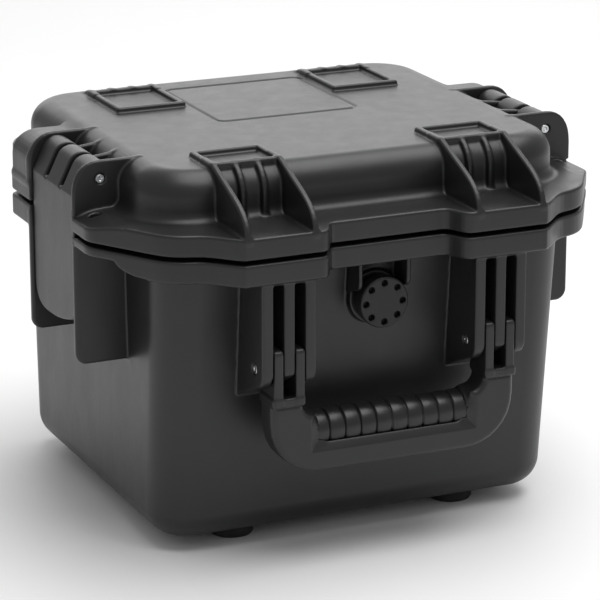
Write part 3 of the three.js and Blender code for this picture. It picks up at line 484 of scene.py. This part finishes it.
def add_knuckles(v):
    """The base's half of the hinge: knuckles that stand between the ribs of the rear humps."""
    r, hy, hz = HINGE["radius"], HINGE["y"], HINGE["z"]
    outline = [(104, 114), (109, 124), (117, 142), (hy + r, 152)] + arc((hy, hz), r, 0, 180, 14)
    outline += [(hy - r, 153), (104, 153)]
    starts = rib_starts()
    for a, b in zip(starts, starts[1:]):
        low, high = a + HUMP["rib"] + HINGE["gap"], b - HINGE["gap"]
        v.add(lambda x, y, z: both(polygon(y, z, outline), slab(x, low, high), 0.6),
              (low, 103, 112), (high, 126, 169), 1.2)
    v.cut(lambda x, y, z: pin_bore(y - hy, z - hz, x), (40, hy - 4, hz - 4), (79, hy + 4, hz + 4))


def cut_latch_pocket(v):
    """Room in the top of the bumper for the lower corner of the closed latch as the lid opens."""
    front, back = POCKET["front"], BAY[0] + 0.1
    pocket = [(front, BASE["rim"]), (back, POCKET["bottom"]), (back, 156), (front, 156)]
    v.cut(lambda x, y, z: both(polygon(y, z, pocket), slab(x, POCKET["inner"], POCKET["outer"])),
          (126, -49, 150), (133, -42, 157), 0.2)


def add_tray_ledges(v):
    """Ledges in the four corners of the tub, just under the tray."""
    heights = (116, TRAY["low"] - 0.3)
    for low, high in ((-95, -70), (86, 106)):
        shelf = lambda x, y, z: block(x, y, z, (84, 112), (low - 3, high + 3), heights, 1)
        v.add(lambda x, y, z: both(shelf(x, y, z), tub(x, y, z, 1.5)), (83, low, 115), (107, high, 125), 1.5)


def add_foot_bosses(v):
    for middle in FOOT["ys"]:
        around = lambda x, y: length(x - FOOT["x"], y - middle)
        v.add(lambda x, y, z: both(around(x, y) - FOOT["boss"], slab(z, 7, 14), 0.8),
              (54, middle - 6, 7), (66, middle + 6, 15), 1.2)
        v.cut(lambda x, y, z: both(around(x, y) - FOOT["screw"], slab(z, 0, 12.4)),
              (57, middle - 3, 5), (63, middle + 3, 13))


# ---- lid ----
def dome(x, y, z, wall):
    half, front, back = LID["half"] - wall, LID["front"] + wall, LID["back"] - wall
    plan = rectangle(x, y, (-half, half), (front, back), LID["radius"] - wall)
    return both(plan, z - LID["top"] + wall, LID["edge"] - wall)


def lid_volume():
    v = Volume((0, -127, 153.5), (136, 127, 196), 0.85 * COARSE, mirror=True)
    v.add(lambda x, y, z: flange(x, y, z, LID["bottom"], LID["flange"], LID["plate"]))
    add_corner_slope(v)
    v.add(lambda x, y, z: both(dome(x, y, z, 0), LID["plate"] - z), None, None, 5.0)
    v.add(lambda x, y, z: both(seal_ring(x, y, z, SEAL["wall"], LID["bottom"], 166),
                               polygon(x, y, flange_outline()) + 2))
    v.add(lambda x, y, z: seal_ring(x, y, z, SEAL["tongue"], SEAL["tongue_bottom"], 160),
          (0, -103, 155), (113, 113, 160))
    add_humps(v)
    add_latch_mount(v)
    v.cut(lambda x, y, z: both(dome(x, y, z, WALL), 150 - z), None, None, 0.6)
    v.cut(lambda x, y, z: both(rectangle(x, y, (-108.4, 108.4), (-98, 107.8), 20.8), z - LID["plate"], 0.5),
          (0, -100, 150), (110, 110, 166), 0.5)
    cut_field(v)
    cut_knuckle_rooms(v)
    v.cut(lambda x, y, z: pin_bore(y - HINGE["y"], z - HINGE["z"], x),
          (40, HINGE["y"] - 4, 157), (79, HINGE["y"] + 4, 168), 0.3)
    v.cut(lambda x, y, z: pin_bore(x - LATCH["x"], z - LATCH["z"], y),
          (114, BAY[0] - 5, 177), (124, BAY[1] + 5, 187), 0.3)
    v.cut(padlock_hole, (119, -57, 162), (130, -47, 169), 0.4)
    return v


def add_corner_slope(v):
    """The slanted front corner of the flange: filled, then rolled down towards its edge."""
    front, back, inner = CORNER["front"], CORNER["back"], CORNER["inner"]
    filled = lambda x, y, z: both(both(slab(y, front, back), inner - x, 0.5), slab(z, 158, 165))
    v.add(lambda x, y, z: both(polygon(x, y, flange_outline()), filled(x, y, z)),
          (120, -81, 157), (135, -46, 166))
    slope_down = [(119, 167.55)] + bezier((119, 167.55), (125, 167.3), (129, 165.3), (135, 163))
    slope_down += [(135, 175), (119, 175)]
    v.cut(lambda x, y, z: both(polygon(x, z, slope_down), slab(y, -82, -44)),
          (118, -82, 162), (136, -44, 170), 1.0)


def cut_field(v):
    """The fine groove round the plain field in the middle of the lid."""
    half, depth = FIELD["half"], (FIELD["front"], FIELD["back"])
    outline = lambda x, y: np.abs(rectangle(x, y, (-half, half), depth, FIELD["turn"])) - FIELD["groove"]
    v.cut(lambda x, y, z: both(outline(x, y), FIELD["bottom"] - z, 0.2), (0, 0, 189), (41, 80, 192), 0.35)


def cut_knuckle_rooms(v):
    """Room in the lid for the base's knuckles."""
    starts = rib_starts()
    for a, b in zip(starts, starts[1:]):
        v.cut(lambda x, y, z: block(x, y, z, (a + HUMP["rib"], b), (111.2, 140), (150, 169.5), 0.4),
              (a, 110, 153), (b + 3, 127, 171), 0.3)


def front_rib():
    """Side view of an outer rib of a front hump."""
    hump = FLANGE["hump_front"]
    profile = [(-70, 183), (-70, HUMP["top"]), (-83.4, HUMP["top"]), (-107.5, 183.8)]
    return profile + bezier((-107.5, 183.8), (-121, 178.5), (hump, 173), (hump, 165)) + [(-84, 165)]


def inner_front_rib():
    """Side view of an inner rib of a front hump, which follows the rounded edge of the dome."""
    low = LID["edge"] + HUMP["inner_rise"]
    edge, centre = LID["front"] + LID["edge"], LID["top"] - LID["edge"]
    profile = arc((edge, centre), low, 90, 180)
    return profile + [(edge - low, 165), (LID["front"] + 2, 165), (-70, 180)]


def rear_rib():
    """Side view of a rear hump's rib, which ends in an ear round the hinge pin."""
    hy, hz, r = HINGE["y"], HINGE["z"], HINGE["radius"]
    profile = [(72, 183), (72, HUMP["top"]), (83.6, HUMP["top"]), (107.5, 183.8)]
    profile += bezier((107.5, 183.8), (118, 179.5), (hy + r, 174), (hy + r, hz))
    return profile + arc((hy, hz), r, 0, -90)[1:] + [(100, 157), (96, 175)]


def add_humps(v):
    inner, outer, rib, top, bar = (HUMP[k] for k in ("inner", "outer", "rib", "top", "bar"))
    for near, far in HUMP_FRAMES:
        v.add(lambda x, y, z: block(x, y, z, (inner, outer), (near, far), (186, top), 1.0),
              (inner, near, 186), (outer, far, 195), 0.8)
    outer_front, inner_front, rear = front_rib(), inner_front_rib(), rear_rib()
    for i, start in enumerate(rib_starts()):
        end = start + rib
        profile = outer_front if i in (0, 3) else inner_front
        v.add(lambda x, y, z: both(polygon(y, z, profile), slab(x, start, end), 1.0),
              (start, -126, 164), (end, -68, 195), 1.2)
        v.add(lambda x, y, z: both(polygon(y, z, rear), slab(x, start, end), 0.9),
              (start, 70, 156), (end, 126, 195), 1.2)
    for near, far in HUMP_FRAMES:
        across, along = (inner + bar, outer - bar), (near + bar, far - bar)
        v.cut(lambda x, y, z: block(x, y, z, across, along, (190.9, 200), 1.2),
              (inner, near, 189), (outer, far, 195), 0.7)


def side_profile(curve_start, top, pull, end):
    """Front view of a cheek or bumper: upright side, round shoulder, level top."""
    profile = [(98, 165), (SIDE_X, 165), (SIDE_X, curve_start[0])]
    profile += bezier((SIDE_X, curve_start[0]), (SIDE_X, curve_start[1]), (pull, top), (end, top))
    return profile + [(98, top)]


def add_latch_mount(v):
    """Two cheeks and two middle ears that hold the latch pin, and the bumper behind them."""
    ex, ez, thickness = LATCH["x"], LATCH["z"], EAR["thickness"]
    cheek = side_profile((174, 184), EAR["top"], 129, 120)
    bumper = side_profile((177, 183), BUMPER_TOP, 127, 121)
    ear = [(98, 189.6), (ex, ez + EAR["radius"])] + arc((ex, ez), EAR["radius"], 90, -90)[1:]
    ear += [(113, 165), (98, 165)]
    for i, start in enumerate(ear_starts()):
        profile = cheek if i in (0, 3) else ear
        v.add(lambda x, y, z: both(polygon(x, z, profile), slab(y, start, start + thickness), 0.9),
              (97, start, 164), (135, start + thickness, 192), 1.2)
    v.add(lambda x, y, z: both(polygon(x, z, bumper), slab(y, BAY[1] + 2, LUG_END), 2.0),
          (97, BAY[1] + 2, 164), (135, LUG_END, 189), 2.0)


# ---- latch ----
def latch_plate():
    """Front view of the latch: a thin plate that widens into the knuckle round its pin."""
    tangent = math.radians(LATCH["tangent"])
    r, ex, ez = LATCH["knuckle"], LATCH["x"], LATCH["z"]
    return [(LATCH["outer"], 104), (LATCH["outer"], LATCH["crease"]),
            (ex + r * math.cos(tangent), ez + r * math.sin(tangent)), (ex, ez), (123.2, 175.4),
            (LATCH["inner"], 169), (LATCH["inner"], 104)]


def latch_edge(front, back):
    """Side view of the latch, with its slanted and rounded lower edge."""
    low = LATCH["low"]
    edge = [(back, 195), (front, 195), (front, 118.8)]
    edge += bezier((front, 118.8), (front, 114.5), (-40.4, 111.8), (-36.1, 110.8))
    edge += bezier((-36.1, 110.8), (-25.4, 107.3), (-13.7, low), (-1, low))
    return edge + bezier((-1, low), (9.9, low), (back, 110.3), (back, 119.6))


def latch_volume(side):
    """The right latch; side -1 is its mirror image."""
    front, back = BAY[0] + LATCH["gap"], BAY[1] - LATCH["gap"]
    inner, crease, slot, ex, ez = (LATCH[k] for k in ("inner", "crease", "slot", "x", "z"))
    v = Volume((110, front - 2, 103.5), (134, back + 2, 192), 0.55 * COARSE)
    plate, edge = latch_plate(), latch_edge(front, back)
    v.add(lambda x, y, z: both(polygon(x, z, plate), polygon(y, z, edge), 1.1))
    v.add(lambda x, y, z: both(length(x - ex, z - ez) - LATCH["knuckle"], slab(y, front, back), 0.8))
    nose = [(inner + 1, 143.2), (121.8, 143.2), (121.8, 140.7), (inner + 1, 136.5)]
    v.add(lambda x, y, z: both(polygon(x, z, nose), slab(y, front + 8, back - 8), 0.4),
          (121, front, 136), (129, back, 144), 0.6)
    for start in ear_starts()[1:3]:
        middle = start + EAR["thickness"] / 2
        v.cut(lambda x, y, z: block(x, y, z, (90, 150), (middle - slot, middle + slot), (crease, 220), 1.5),
              (110, start - 2, 172), (134, start + 6, 192), 0.7)
    v.cut(lambda x, y, z: pin_bore(x - ex, z - ez, y),
          (ex - 4, front - 2, ez - 4), (ex + 4, back + 2, ez + 4), 0.2)
    if side < 0:
        v.value = v.value[::-1]
        v.axes[0] = -v.axes[0][::-1]
    return v


# ---- handle ----
def handle_volume():
    v = Volume((0, -125.5, 45.5), (67, -104, 113), 0.55 * COARSE, mirror=True)
    add_crossbar(v)
    add_grip_seat(v)
    add_fork(v)
    v.cut(lambda x, y, z: pin_bore(y - HANDLE["y"], z - HANDLE["z"], x), (44, -116, 96), (67, -108, 104), 0.3)
    return v


def add_crossbar(v):
    """The U of the handle: a bar with a sweeping bend up into each arm."""
    outer, inner, bottom = HANDLE["outer"], HANDLE["inner"], HANDLE["bottom"]
    outline = [(outer, 84), (inner, 84)]
    outline += bezier((inner, FORK["low"]), (inner - 1.2, 77.5), (42, 75.6), (36, 75.2))
    outline += [(-6, 75.2), (-6, bottom), (38, bottom)]
    outline += bezier((38, bottom), (52, bottom), (outer, 58), (outer, 74))
    v.add(lambda x, y, z: both(polygon(x, z, outline), slab(y, HANDLE["front"], HANDLE["back"]), 3.2))


def add_grip_seat(v):
    """The open seat of the grip, a tapered collar at its end and the core that the grip sits on."""
    front, back, half = HANDLE["front"], HANDLE["back"], GRIP["half"]
    around = lambda y, z: length(y - GRIP["y"], z - GRIP["z"])
    side = lambda x, y: x - half - 0.1 - 1.1 * np.maximum(-119.6 - y, 0)
    ledge = lambda y, z: 58.2 + 1.7 * np.clip(y - front, 0, 2.2) - z
    v.cut(lambda x, y, z: both(side(x, y), ledge(y, z), 0.6),
          (-1, front - 4, 54), (half + 8, back + 4, 84), 0.5)
    taper = lambda x, y, z: around(y, z) - 9.15 + 0.16 * np.maximum(x - half, 0)
    v.add(lambda x, y, z: both(taper(x, y, z), slab(x, half - 4, 50), 1.5),
          (half - 4, -122, 54), (51, -104, 80), 4.0)
    v.cut(lambda x, y, z: both(around(y, z) - GRIP["radius"] - 0.05, x - half - 0.1))
    v.add(lambda x, y, z: both(around(y, z) - GRIP["core"], x - half - 3 + 0 * y))


def add_fork(v):
    """The end of the arm: a shoulder and the two prongs that stand in the slots of a block."""
    front, top, back = FORK["front"], FORK["top"], HANDLE["back"]
    inner, outer, half = HANDLE["inner"], HANDLE["outer"], FORK["half_prong"]
    across, along, heights = (inner - 0.15, outer + 0.2), (front, back + 0.2), (FORK["low"], FORK["shoulder"])
    v.add(lambda x, y, z: block(x, y, z, across, along, heights, 0.9),
          (inner - 1, front - 1, 82), (outer + 1, back + 1, 88), 0.5)
    prong = [(back, 84), (back, 102.3)] + bezier((back, 102.3), (back, 108), (-109.2, top), (-113.7, top))
    prong += bezier((-120.7, top), (-122.2, top), (front, 110), (front, 108.5)) + [(front, 84)]
    for a, b in handle_slots():
        centre = (a + b) / 2
        v.add(lambda x, y, z: both(polygon(y, z, prong), slab(x, centre - half, centre + half), 0.9),
              (a, -125, 83), (b, -103, 113), 1.2)


# ---- knob and tray ----
def knob_volume():
    """A flat cap with a ring of blind holes, on a stem."""
    v = Volume((-14, -111, 109), (14, -91, 138), 0.4 * COARSE)
    around = lambda x, z, cx, cz: length(x - cx, z - cz)
    v.add(lambda x, y, z: both(around(x, z, 0, VALVE["z"]) - VALVE["knob"],
                               slab(y, VALVE["knob_front"], VALVE["knob_back"]), 1.1))
    v.add(lambda x, y, z: both(around(x, z, 0, VALVE["z"]) - VALVE["stem"], slab(y, -104, -92), 0.3))
    for i in range(VALVE["holes"]):
        angle = math.radians(360 / VALVE["holes"] * i)
        cx = VALVE["hole_circle"] * math.cos(angle)
        cz = VALVE["z"] + VALVE["hole_circle"] * math.sin(angle)
        v.cut(lambda x, y, z: both(around(x, z, cx, cz) - VALVE["hole"], y - VALVE["hole_end"]),
              None, None, 0.35)
    return v


def tray_plan(x, y, inward):
    """Distance to the tray's outline, moved inward."""
    half, front, back = TRAY["half"] - inward, TRAY["front"] + inward, TRAY["back"] - inward
    return rectangle(x, y, (-half, half), (front, back), TRAY["radius"] - inward)


def tray_volume():
    """An open tray with a cross rib, guides for the dividers and a finger notch in each end."""
    v = Volume((0, -83, 122), (101, 100, 154), 0.9 * COARSE, mirror=True)
    low, top, wall, (rib_front, rib_back) = TRAY["low"], TRAY["top"], TRAY["wall"], TRAY["rib"]
    room = lambda x, y, z, w: both(tray_plan(x, y, w), low + w - z, 2.0)
    v.add(lambda x, y, z: both(room(x, y, z, 0), z - top, 0.9))
    v.cut(lambda x, y, z: room(x, y, z, wall), None, None, 0.9)
    inside = lambda x, y, z: both(tray_plan(x, y, 1), between(z, low + 1, top - TRAY["rise"]), 0.8)
    v.add(lambda x, y, z: both(slab(y, rib_front, rib_back), inside(x, y, z), 0.8), None, None, 1.2)
    front_row = (TRAY["front"] + wall, rib_front)
    back_row = (rib_back, TRAY["back"] - wall)
    for centre, (start, end) in ((0, front_row), (TRAY["divider_x"], back_row)):
        for side in (-1, 1):
            near, far = (centre + side * reach for reach in TRAY["guide"])
            for a, b in ((start - 1, start + TRAY["groove"]), (end - TRAY["groove"], end + 1)):
                guide = lambda x, y: both(slab(x, near, far), slab(y, a, b), 0.5)
                v.add(lambda x, y, z: both(guide(x, y), inside(x, y, z), 0.4))
    v.cut(lambda x, y, z: block(x, y, z, (92, 110), (2, 42), (143, 170), 3), None, None, 0.9)
    return v


# ---- turned pieces ----
def turned(name, profile, axis, centre, steps=48):
    """A closed solid of revolution. The profile is (radius, place along the axis), in millimetres."""
    ring = np.array(profile, float)
    angles = 2 * np.pi * np.arange(steps) / steps
    a = ring[None, :, 0] * np.cos(angles)[:, None]
    b = ring[None, :, 0] * np.sin(angles)[:, None]
    along = np.broadcast_to(ring[None, :, 1], a.shape)
    order = {"x": (along, a, b), "y": (b, along, a), "z": (a, b, along)}[axis]
    points = np.stack(order, -1).reshape(-1, 3) + np.array(centre)
    count = len(ring)
    faces = []
    for i in range(steps):
        for j in range(count - 1):
            here, there = i * count + j, (i + 1) % steps * count + j
            faces.append((here, here + 1, there + 1, there))
    mesh = blender_mesh(name, points, np.array(faces))
    work = bmesh.new()
    work.from_mesh(mesh)
    bmesh.ops.remove_doubles(work, verts=work.verts, dist=1e-6)
    bmesh.ops.recalc_face_normals(work, faces=work.faces)
    work.to_mesh(mesh)
    work.free()
    mesh.polygons.foreach_set("use_smooth", np.ones(len(mesh.polygons), bool))
    return link(name, mesh)


def sharpen(piece, angle):
    piece.data.set_sharp_from_angle(angle=math.radians(angle))


def pin_profile(radius, low, high):
    """A turned steel pin with a small chamfer, a shallow dimple in each end, closed on the axis."""
    chamfer, dimple = 0.35, 0.25
    rim, floor_radius, edge = radius * 0.5, radius * 0.35, radius - chamfer
    return [(0, low + dimple), (floor_radius, low + dimple), (rim, low), (edge, low), (radius, low + chamfer),
            (radius, high - chamfer), (edge, high), (rim, high), (floor_radius, high - dimple),
            (0, high - dimple)]


def grip_profile():
    """Ribbed sleeve: a soft swell between every two grooves."""
    half, radius, pitch, grooves = GRIP["half"], GRIP["radius"], GRIP["pitch"], GRIP["grooves"]
    first = -(grooves - 1) / 2 * pitch
    depth, groove_width, rise, rise_width = 0.85, 0.45, 0.3, 2.2
    points = [(GRIP["bore"], -half)]
    for s in np.linspace(-half, half, 320):
        near = (s - first) / pitch
        away = abs(near - round(np.clip(near, 0, grooves - 1))) * pitch
        groove = depth * math.exp(-(away / groove_width) ** 2)
        swell = rise * (1 - math.exp(-(away / rise_width) ** 2))
        points.append((radius - 0.25 + swell - groove, s))
    return points + [(GRIP["bore"], half), (GRIP["bore"], -half)]


def foot_profile():
    """A round foot with a soft lower edge and a sunk hole for its screw."""
    bore, sink, top = 2.2, 2.6, 5.7
    return [(bore, sink), (4.4, sink), (4.5, 0.5), (5.0, 0), (9.6, 0), (10.5, 0.35), (10.95, 1.2),
            (10.9, 4.6), (10.6, 5.5), (10.2, top), (bore, top), (bore, sink)]


# ---- materials ----
def node_tree(name):
    material = bpy.data.materials.new(name)
    material.use_nodes = True
    tree = material.node_tree
    tree.nodes.clear()
    output = tree.nodes.new("ShaderNodeOutputMaterial")
    shader = tree.nodes.new("ShaderNodeBsdfPrincipled")
    tree.links.new(shader.outputs["BSDF"], output.inputs["Surface"])
    return material, tree, shader


def noise(tree, scale, detail=3.0, roughness=0.55, stretch=(1, 1, 1)):
    """A noise value over the object's own coordinates; the scale is in repeats per metre."""
    place = tree.nodes.new("ShaderNodeTexCoord")
    mapping = tree.nodes.new("ShaderNodeMapping")
    mapping.inputs["Scale"].default_value = stretch
    texture = tree.nodes.new("ShaderNodeTexNoise")
    texture.inputs["Scale"].default_value = scale
    texture.inputs["Detail"].default_value = detail
    texture.inputs["Roughness"].default_value = roughness
    tree.links.new(place.outputs["Object"], mapping.inputs["Vector"])
    tree.links.new(mapping.outputs["Vector"], texture.inputs["Vector"])
    return texture.outputs["Fac"]


def spread(tree, value, low, high, start=0.3, end=0.7):
    """Maps the middle of a noise value to a range."""
    ramp = tree.nodes.new("ShaderNodeMapRange")
    ramp.inputs["From Min"].default_value = start
    ramp.inputs["From Max"].default_value = end
    ramp.inputs["To Min"].default_value = low
    ramp.inputs["To Max"].default_value = high
    tree.links.new(value, ramp.inputs["Value"])
    return ramp.outputs["Result"]


def math_node(tree, kind, a, b):
    node = tree.nodes.new("ShaderNodeMath")
    node.operation = kind
    for socket, value in zip(node.inputs, (a, b)):
        if isinstance(value, (int, float)):
            socket.default_value = value
        else:
            tree.links.new(value, socket)
    return node.outputs[0]


def mix_colours(tree, factor, a, b):
    mix = tree.nodes.new("ShaderNodeMix")
    mix.data_type = "RGBA"
    tree.links.new(factor, mix.inputs["Factor"])
    mix.inputs["A"].default_value = (*a, 1)
    mix.inputs["B"].default_value = (*b, 1)
    return mix.outputs["Result"]


def bump(tree, shader, layers):
    """Stacks height layers, each (value, distance in metres), into the shader's normal."""
    last = None
    for height, distance in layers:
        node = tree.nodes.new("ShaderNodeBump")
        node.inputs["Strength"].default_value = 1.0
        node.inputs["Distance"].default_value = distance
        tree.links.new(height, node.inputs["Height"])
        if last is not None:
            tree.links.new(last, node.inputs["Normal"])
        last = node.outputs["Normal"]
    tree.links.new(last, shader.inputs["Normal"])


def moulded_plastic(name, colour, roughness, grain=0.00004, specular=0.5):
    """Spark-eroded black plastic: fine grain, faint flow variation, soft handling marks."""
    material, tree, shader = node_tree(name)
    flow = noise(tree, 22, 2)
    fine = noise(tree, 2600, 2, 0.6)
    scuff = noise(tree, 90, 5, 0.65, (1, 1, 0.35))
    darker = tuple(0.86 * c for c in colour)
    lighter = tuple(1.12 * c for c in colour)
    tinted = mix_colours(tree, spread(tree, flow, 0, 1), darker, lighter)
    tree.links.new(tinted, shader.inputs["Base Color"])
    marks = math_node(tree, "ADD", spread(tree, scuff, -0.03, 0.035), spread(tree, fine, -0.04, 0.04))
    tree.links.new(math_node(tree, "ADD", marks, roughness), shader.inputs["Roughness"])
    shader.inputs["Specular IOR Level"].default_value = specular
    shader.inputs["IOR"].default_value = 1.49
    bump(tree, shader, [(fine, grain), (noise(tree, 700, 2), grain * 0.6), (noise(tree, 14, 1), 0.00012)])
    return material


def rubber(name, colour, roughness=0.8):
    material, tree, shader = node_tree(name)
    dust = noise(tree, 120, 4, 0.7)
    fine = noise(tree, 1800, 2)
    lighter = tuple(c + 0.02 for c in colour)
    dusty = mix_colours(tree, spread(tree, dust, 0, 1, 0.45, 0.75), colour, lighter)
    tree.links.new(dusty, shader.inputs["Base Color"])
    tree.links.new(spread(tree, fine, roughness - 0.08, roughness + 0.08), shader.inputs["Roughness"])
    shader.inputs["Specular IOR Level"].default_value = 0.35
    bump(tree, shader, [(fine, 0.00005)])
    return material


def turned_steel(name):
    material, tree, shader = node_tree(name)
    lines = noise(tree, 900, 2, 0.5, (1, 6, 6))
    streaked = mix_colours(tree, lines, (0.52, 0.53, 0.54), (0.72, 0.73, 0.74))
    tree.links.new(streaked, shader.inputs["Base Color"])
    tree.links.new(spread(tree, lines, 0.2, 0.36), shader.inputs["Roughness"])
    shader.inputs["Metallic"].default_value = 1.0
    bump(tree, shader, [(lines, 0.00001)])
    return material


def dress(piece, material):
    piece.data.materials.clear()
    piece.data.materials.append(material)


# ---- stage, lights and camera ----
def floor(material):
    size = 6.0
    corners = [(-size, -size, 0), (size, -size, 0), (size, size, 0), (-size, size, 0)]
    mesh = bpy.data.meshes.new("floor")
    mesh.from_pydata(corners, [], [(0, 1, 2, 3)])
    plane = link("floor", mesh)
    plane.data.materials.append(material)


def pale_floor():
    material, tree, shader = node_tree("pale_floor")
    mottled = mix_colours(tree, noise(tree, 3, 2), (0.86, 0.86, 0.86), (0.9, 0.9, 0.9))
    tree.links.new(mottled, shader.inputs["Base Color"])
    shader.inputs["Roughness"].default_value = 0.6
    shader.inputs["Specular IOR Level"].default_value = 0.2
    return material


def area_light(name, place, target, size, power):
    data = bpy.data.lights.new(name, "AREA")
    data.shape = "RECTANGLE"
    data.size, data.size_y = size
    data.energy = power
    lamp = bpy.data.objects.new(name, data)
    lamp.location = place
    lamp.rotation_mode = "QUATERNION"
    lamp.rotation_quaternion = (Vector(target) - Vector(place)).to_track_quat("-Z", "Y")
    bpy.context.scene.collection.objects.link(lamp)


def studio():
    """Even white surroundings, a softbox overhead and a long bright panel behind the case."""
    world = bpy.data.worlds.new("studio")
    world.use_nodes = True
    background = world.node_tree.nodes["Background"]
    background.inputs["Color"].default_value = (1, 1, 1, 1)
    background.inputs["Strength"].default_value = SURROUNDINGS
    bpy.context.scene.world = world
    area_light("overhead", (0.3, -0.15, 1.6), (0, 0, 0.1), (1.8, 1.3), 26)
    area_light("panel", (1.0, 2.6, 1.2), (0, 0, 0.2), (3.2, 1.8), 27)
    scene = bpy.context.scene
    scene.view_settings.view_transform = "Standard"
    scene.view_settings.look = "None"


def camera():
    """A long lens, a little above the case and to the left of its front."""
    azimuth, elevation, distance = math.radians(-24.127), math.radians(17.098), 1.569
    target = Vector((0.00327, -0.0034, 0.09465))
    level = math.cos(elevation)
    back = Vector((math.sin(azimuth) * level, -math.cos(azimuth) * level, math.sin(elevation)))
    data = bpy.data.cameras.new("camera")
    data.lens, data.sensor_width = 185.0, 36.0
    view = bpy.data.objects.new("camera", data)
    view.location = target + back * distance
    view.rotation_mode = "QUATERNION"
    view.rotation_quaternion = (-back).to_track_quat("-Z", "Y")
    bpy.context.scene.collection.objects.link(view)
    bpy.context.scene.camera = view


# ---- putting it together ----
def finish_piece(piece, material, body, node):
    dress(piece, material)
    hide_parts(node)
    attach(piece, body)


def moulded_piece(name, volume, keep, material, body, node):
    finish_piece(moulding(name, volume, keep), material, body, node)


def turned_piece(name, profile, axis, centre, material, body, node, angle=35):
    piece = turned(name, profile, axis, centre)
    sharpen(piece, angle)
    finish_piece(piece, material, body, node)


camera()
studio()
floor(pale_floor())

SHELL = moulded_plastic("shell_plastic", (0.0115, 0.0119, 0.0124), 0.38, specular=0.5)
LATCH_PLASTIC = moulded_plastic("latch_plastic", (0.0125, 0.013, 0.0136), 0.38, 0.00003, 0.48)
HANDLE_PLASTIC = moulded_plastic("handle_plastic", (0.0115, 0.0119, 0.0124), 0.38, 0.00003, 0.5)
GRIP_PLASTIC = moulded_plastic("grip_plastic", (0.0105, 0.0108, 0.0112), 0.33)
KNOB_PLASTIC = moulded_plastic("knob_plastic", (0.012, 0.0124, 0.013), 0.38, 0.00002, 0.35)
TRAY_PLASTIC = moulded_plastic("tray_plastic", (0.02, 0.0205, 0.022), 0.48)
RUBBER = rubber("black_rubber", (0.012, 0.012, 0.012))
STEEL = turned_steel("turned_steel")

moulded_piece("base_moulding", base_volume(), 0.16, SHELL, "root", "base_shell")
moulded_piece("lid_moulding", lid_volume(), 0.2, SHELL, "lid", "lid_shell")
moulded_piece("handle_moulding", handle_volume(), 0.3, HANDLE_PLASTIC, "handle", "handle_frame")
moulded_piece("knob_moulding", knob_volume(), 0.4, KNOB_PLASTIC, "knob", "valve_knob")
moulded_piece("tray_moulding", tray_volume(), 0.16, TRAY_PLASTIC, "tray", "tray_body")
turned_piece("grip_sleeve", grip_profile(), "x", (0, GRIP["y"], GRIP["z"]), GRIP_PLASTIC,
             "handle", "handle_grip", 60)

PINS = (("latch_pin", "y", "lid"), ("hinge_pin", "x", "root"), ("handle_pin", "x", "root"))
for side, label in ((-1, "left"), (1, "right")):
    moulded_piece(f"latch_moulding_{label}", latch_volume(side), 0.25, LATCH_PLASTIC,
                  f"latch_{label}", f"latch_{label}")
    for kind, axis, body in PINS:
        node = f"{kind}_{label}"
        low, high = (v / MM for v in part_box(node))
        middle = (low + high) / 2
        along = "xyz".index(axis)
        centre = [0 if i == along else middle[i] for i in range(3)]
        turned_piece(f"{node}_turned", pin_profile(PIN, low[along], high[along]), axis, centre, STEEL,
                     body, node)
    for end in ("front", "rear"):
        node = f"foot_{end}_{label}"
        low, high = (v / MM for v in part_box(node))
        centre = ((low[0] + high[0]) / 2, (low[1] + high[1]) / 2, 0)
        turned_piece(f"{node}_moulded", foot_profile(), "z", centre, RUBBER, "root", node)

FINISHES = {"shell": SHELL, "rubber": RUBBER, "steel": STEEL, "tray": TRAY_PLASTIC}
SLOTS = {row["node"]: row["material_slot"] for row in frame["record"]["subparts"]}
for name, node in frame["nodes"].items():
    if not node.hide_render:
        dress(node, FINISHES[SLOTS[name]])
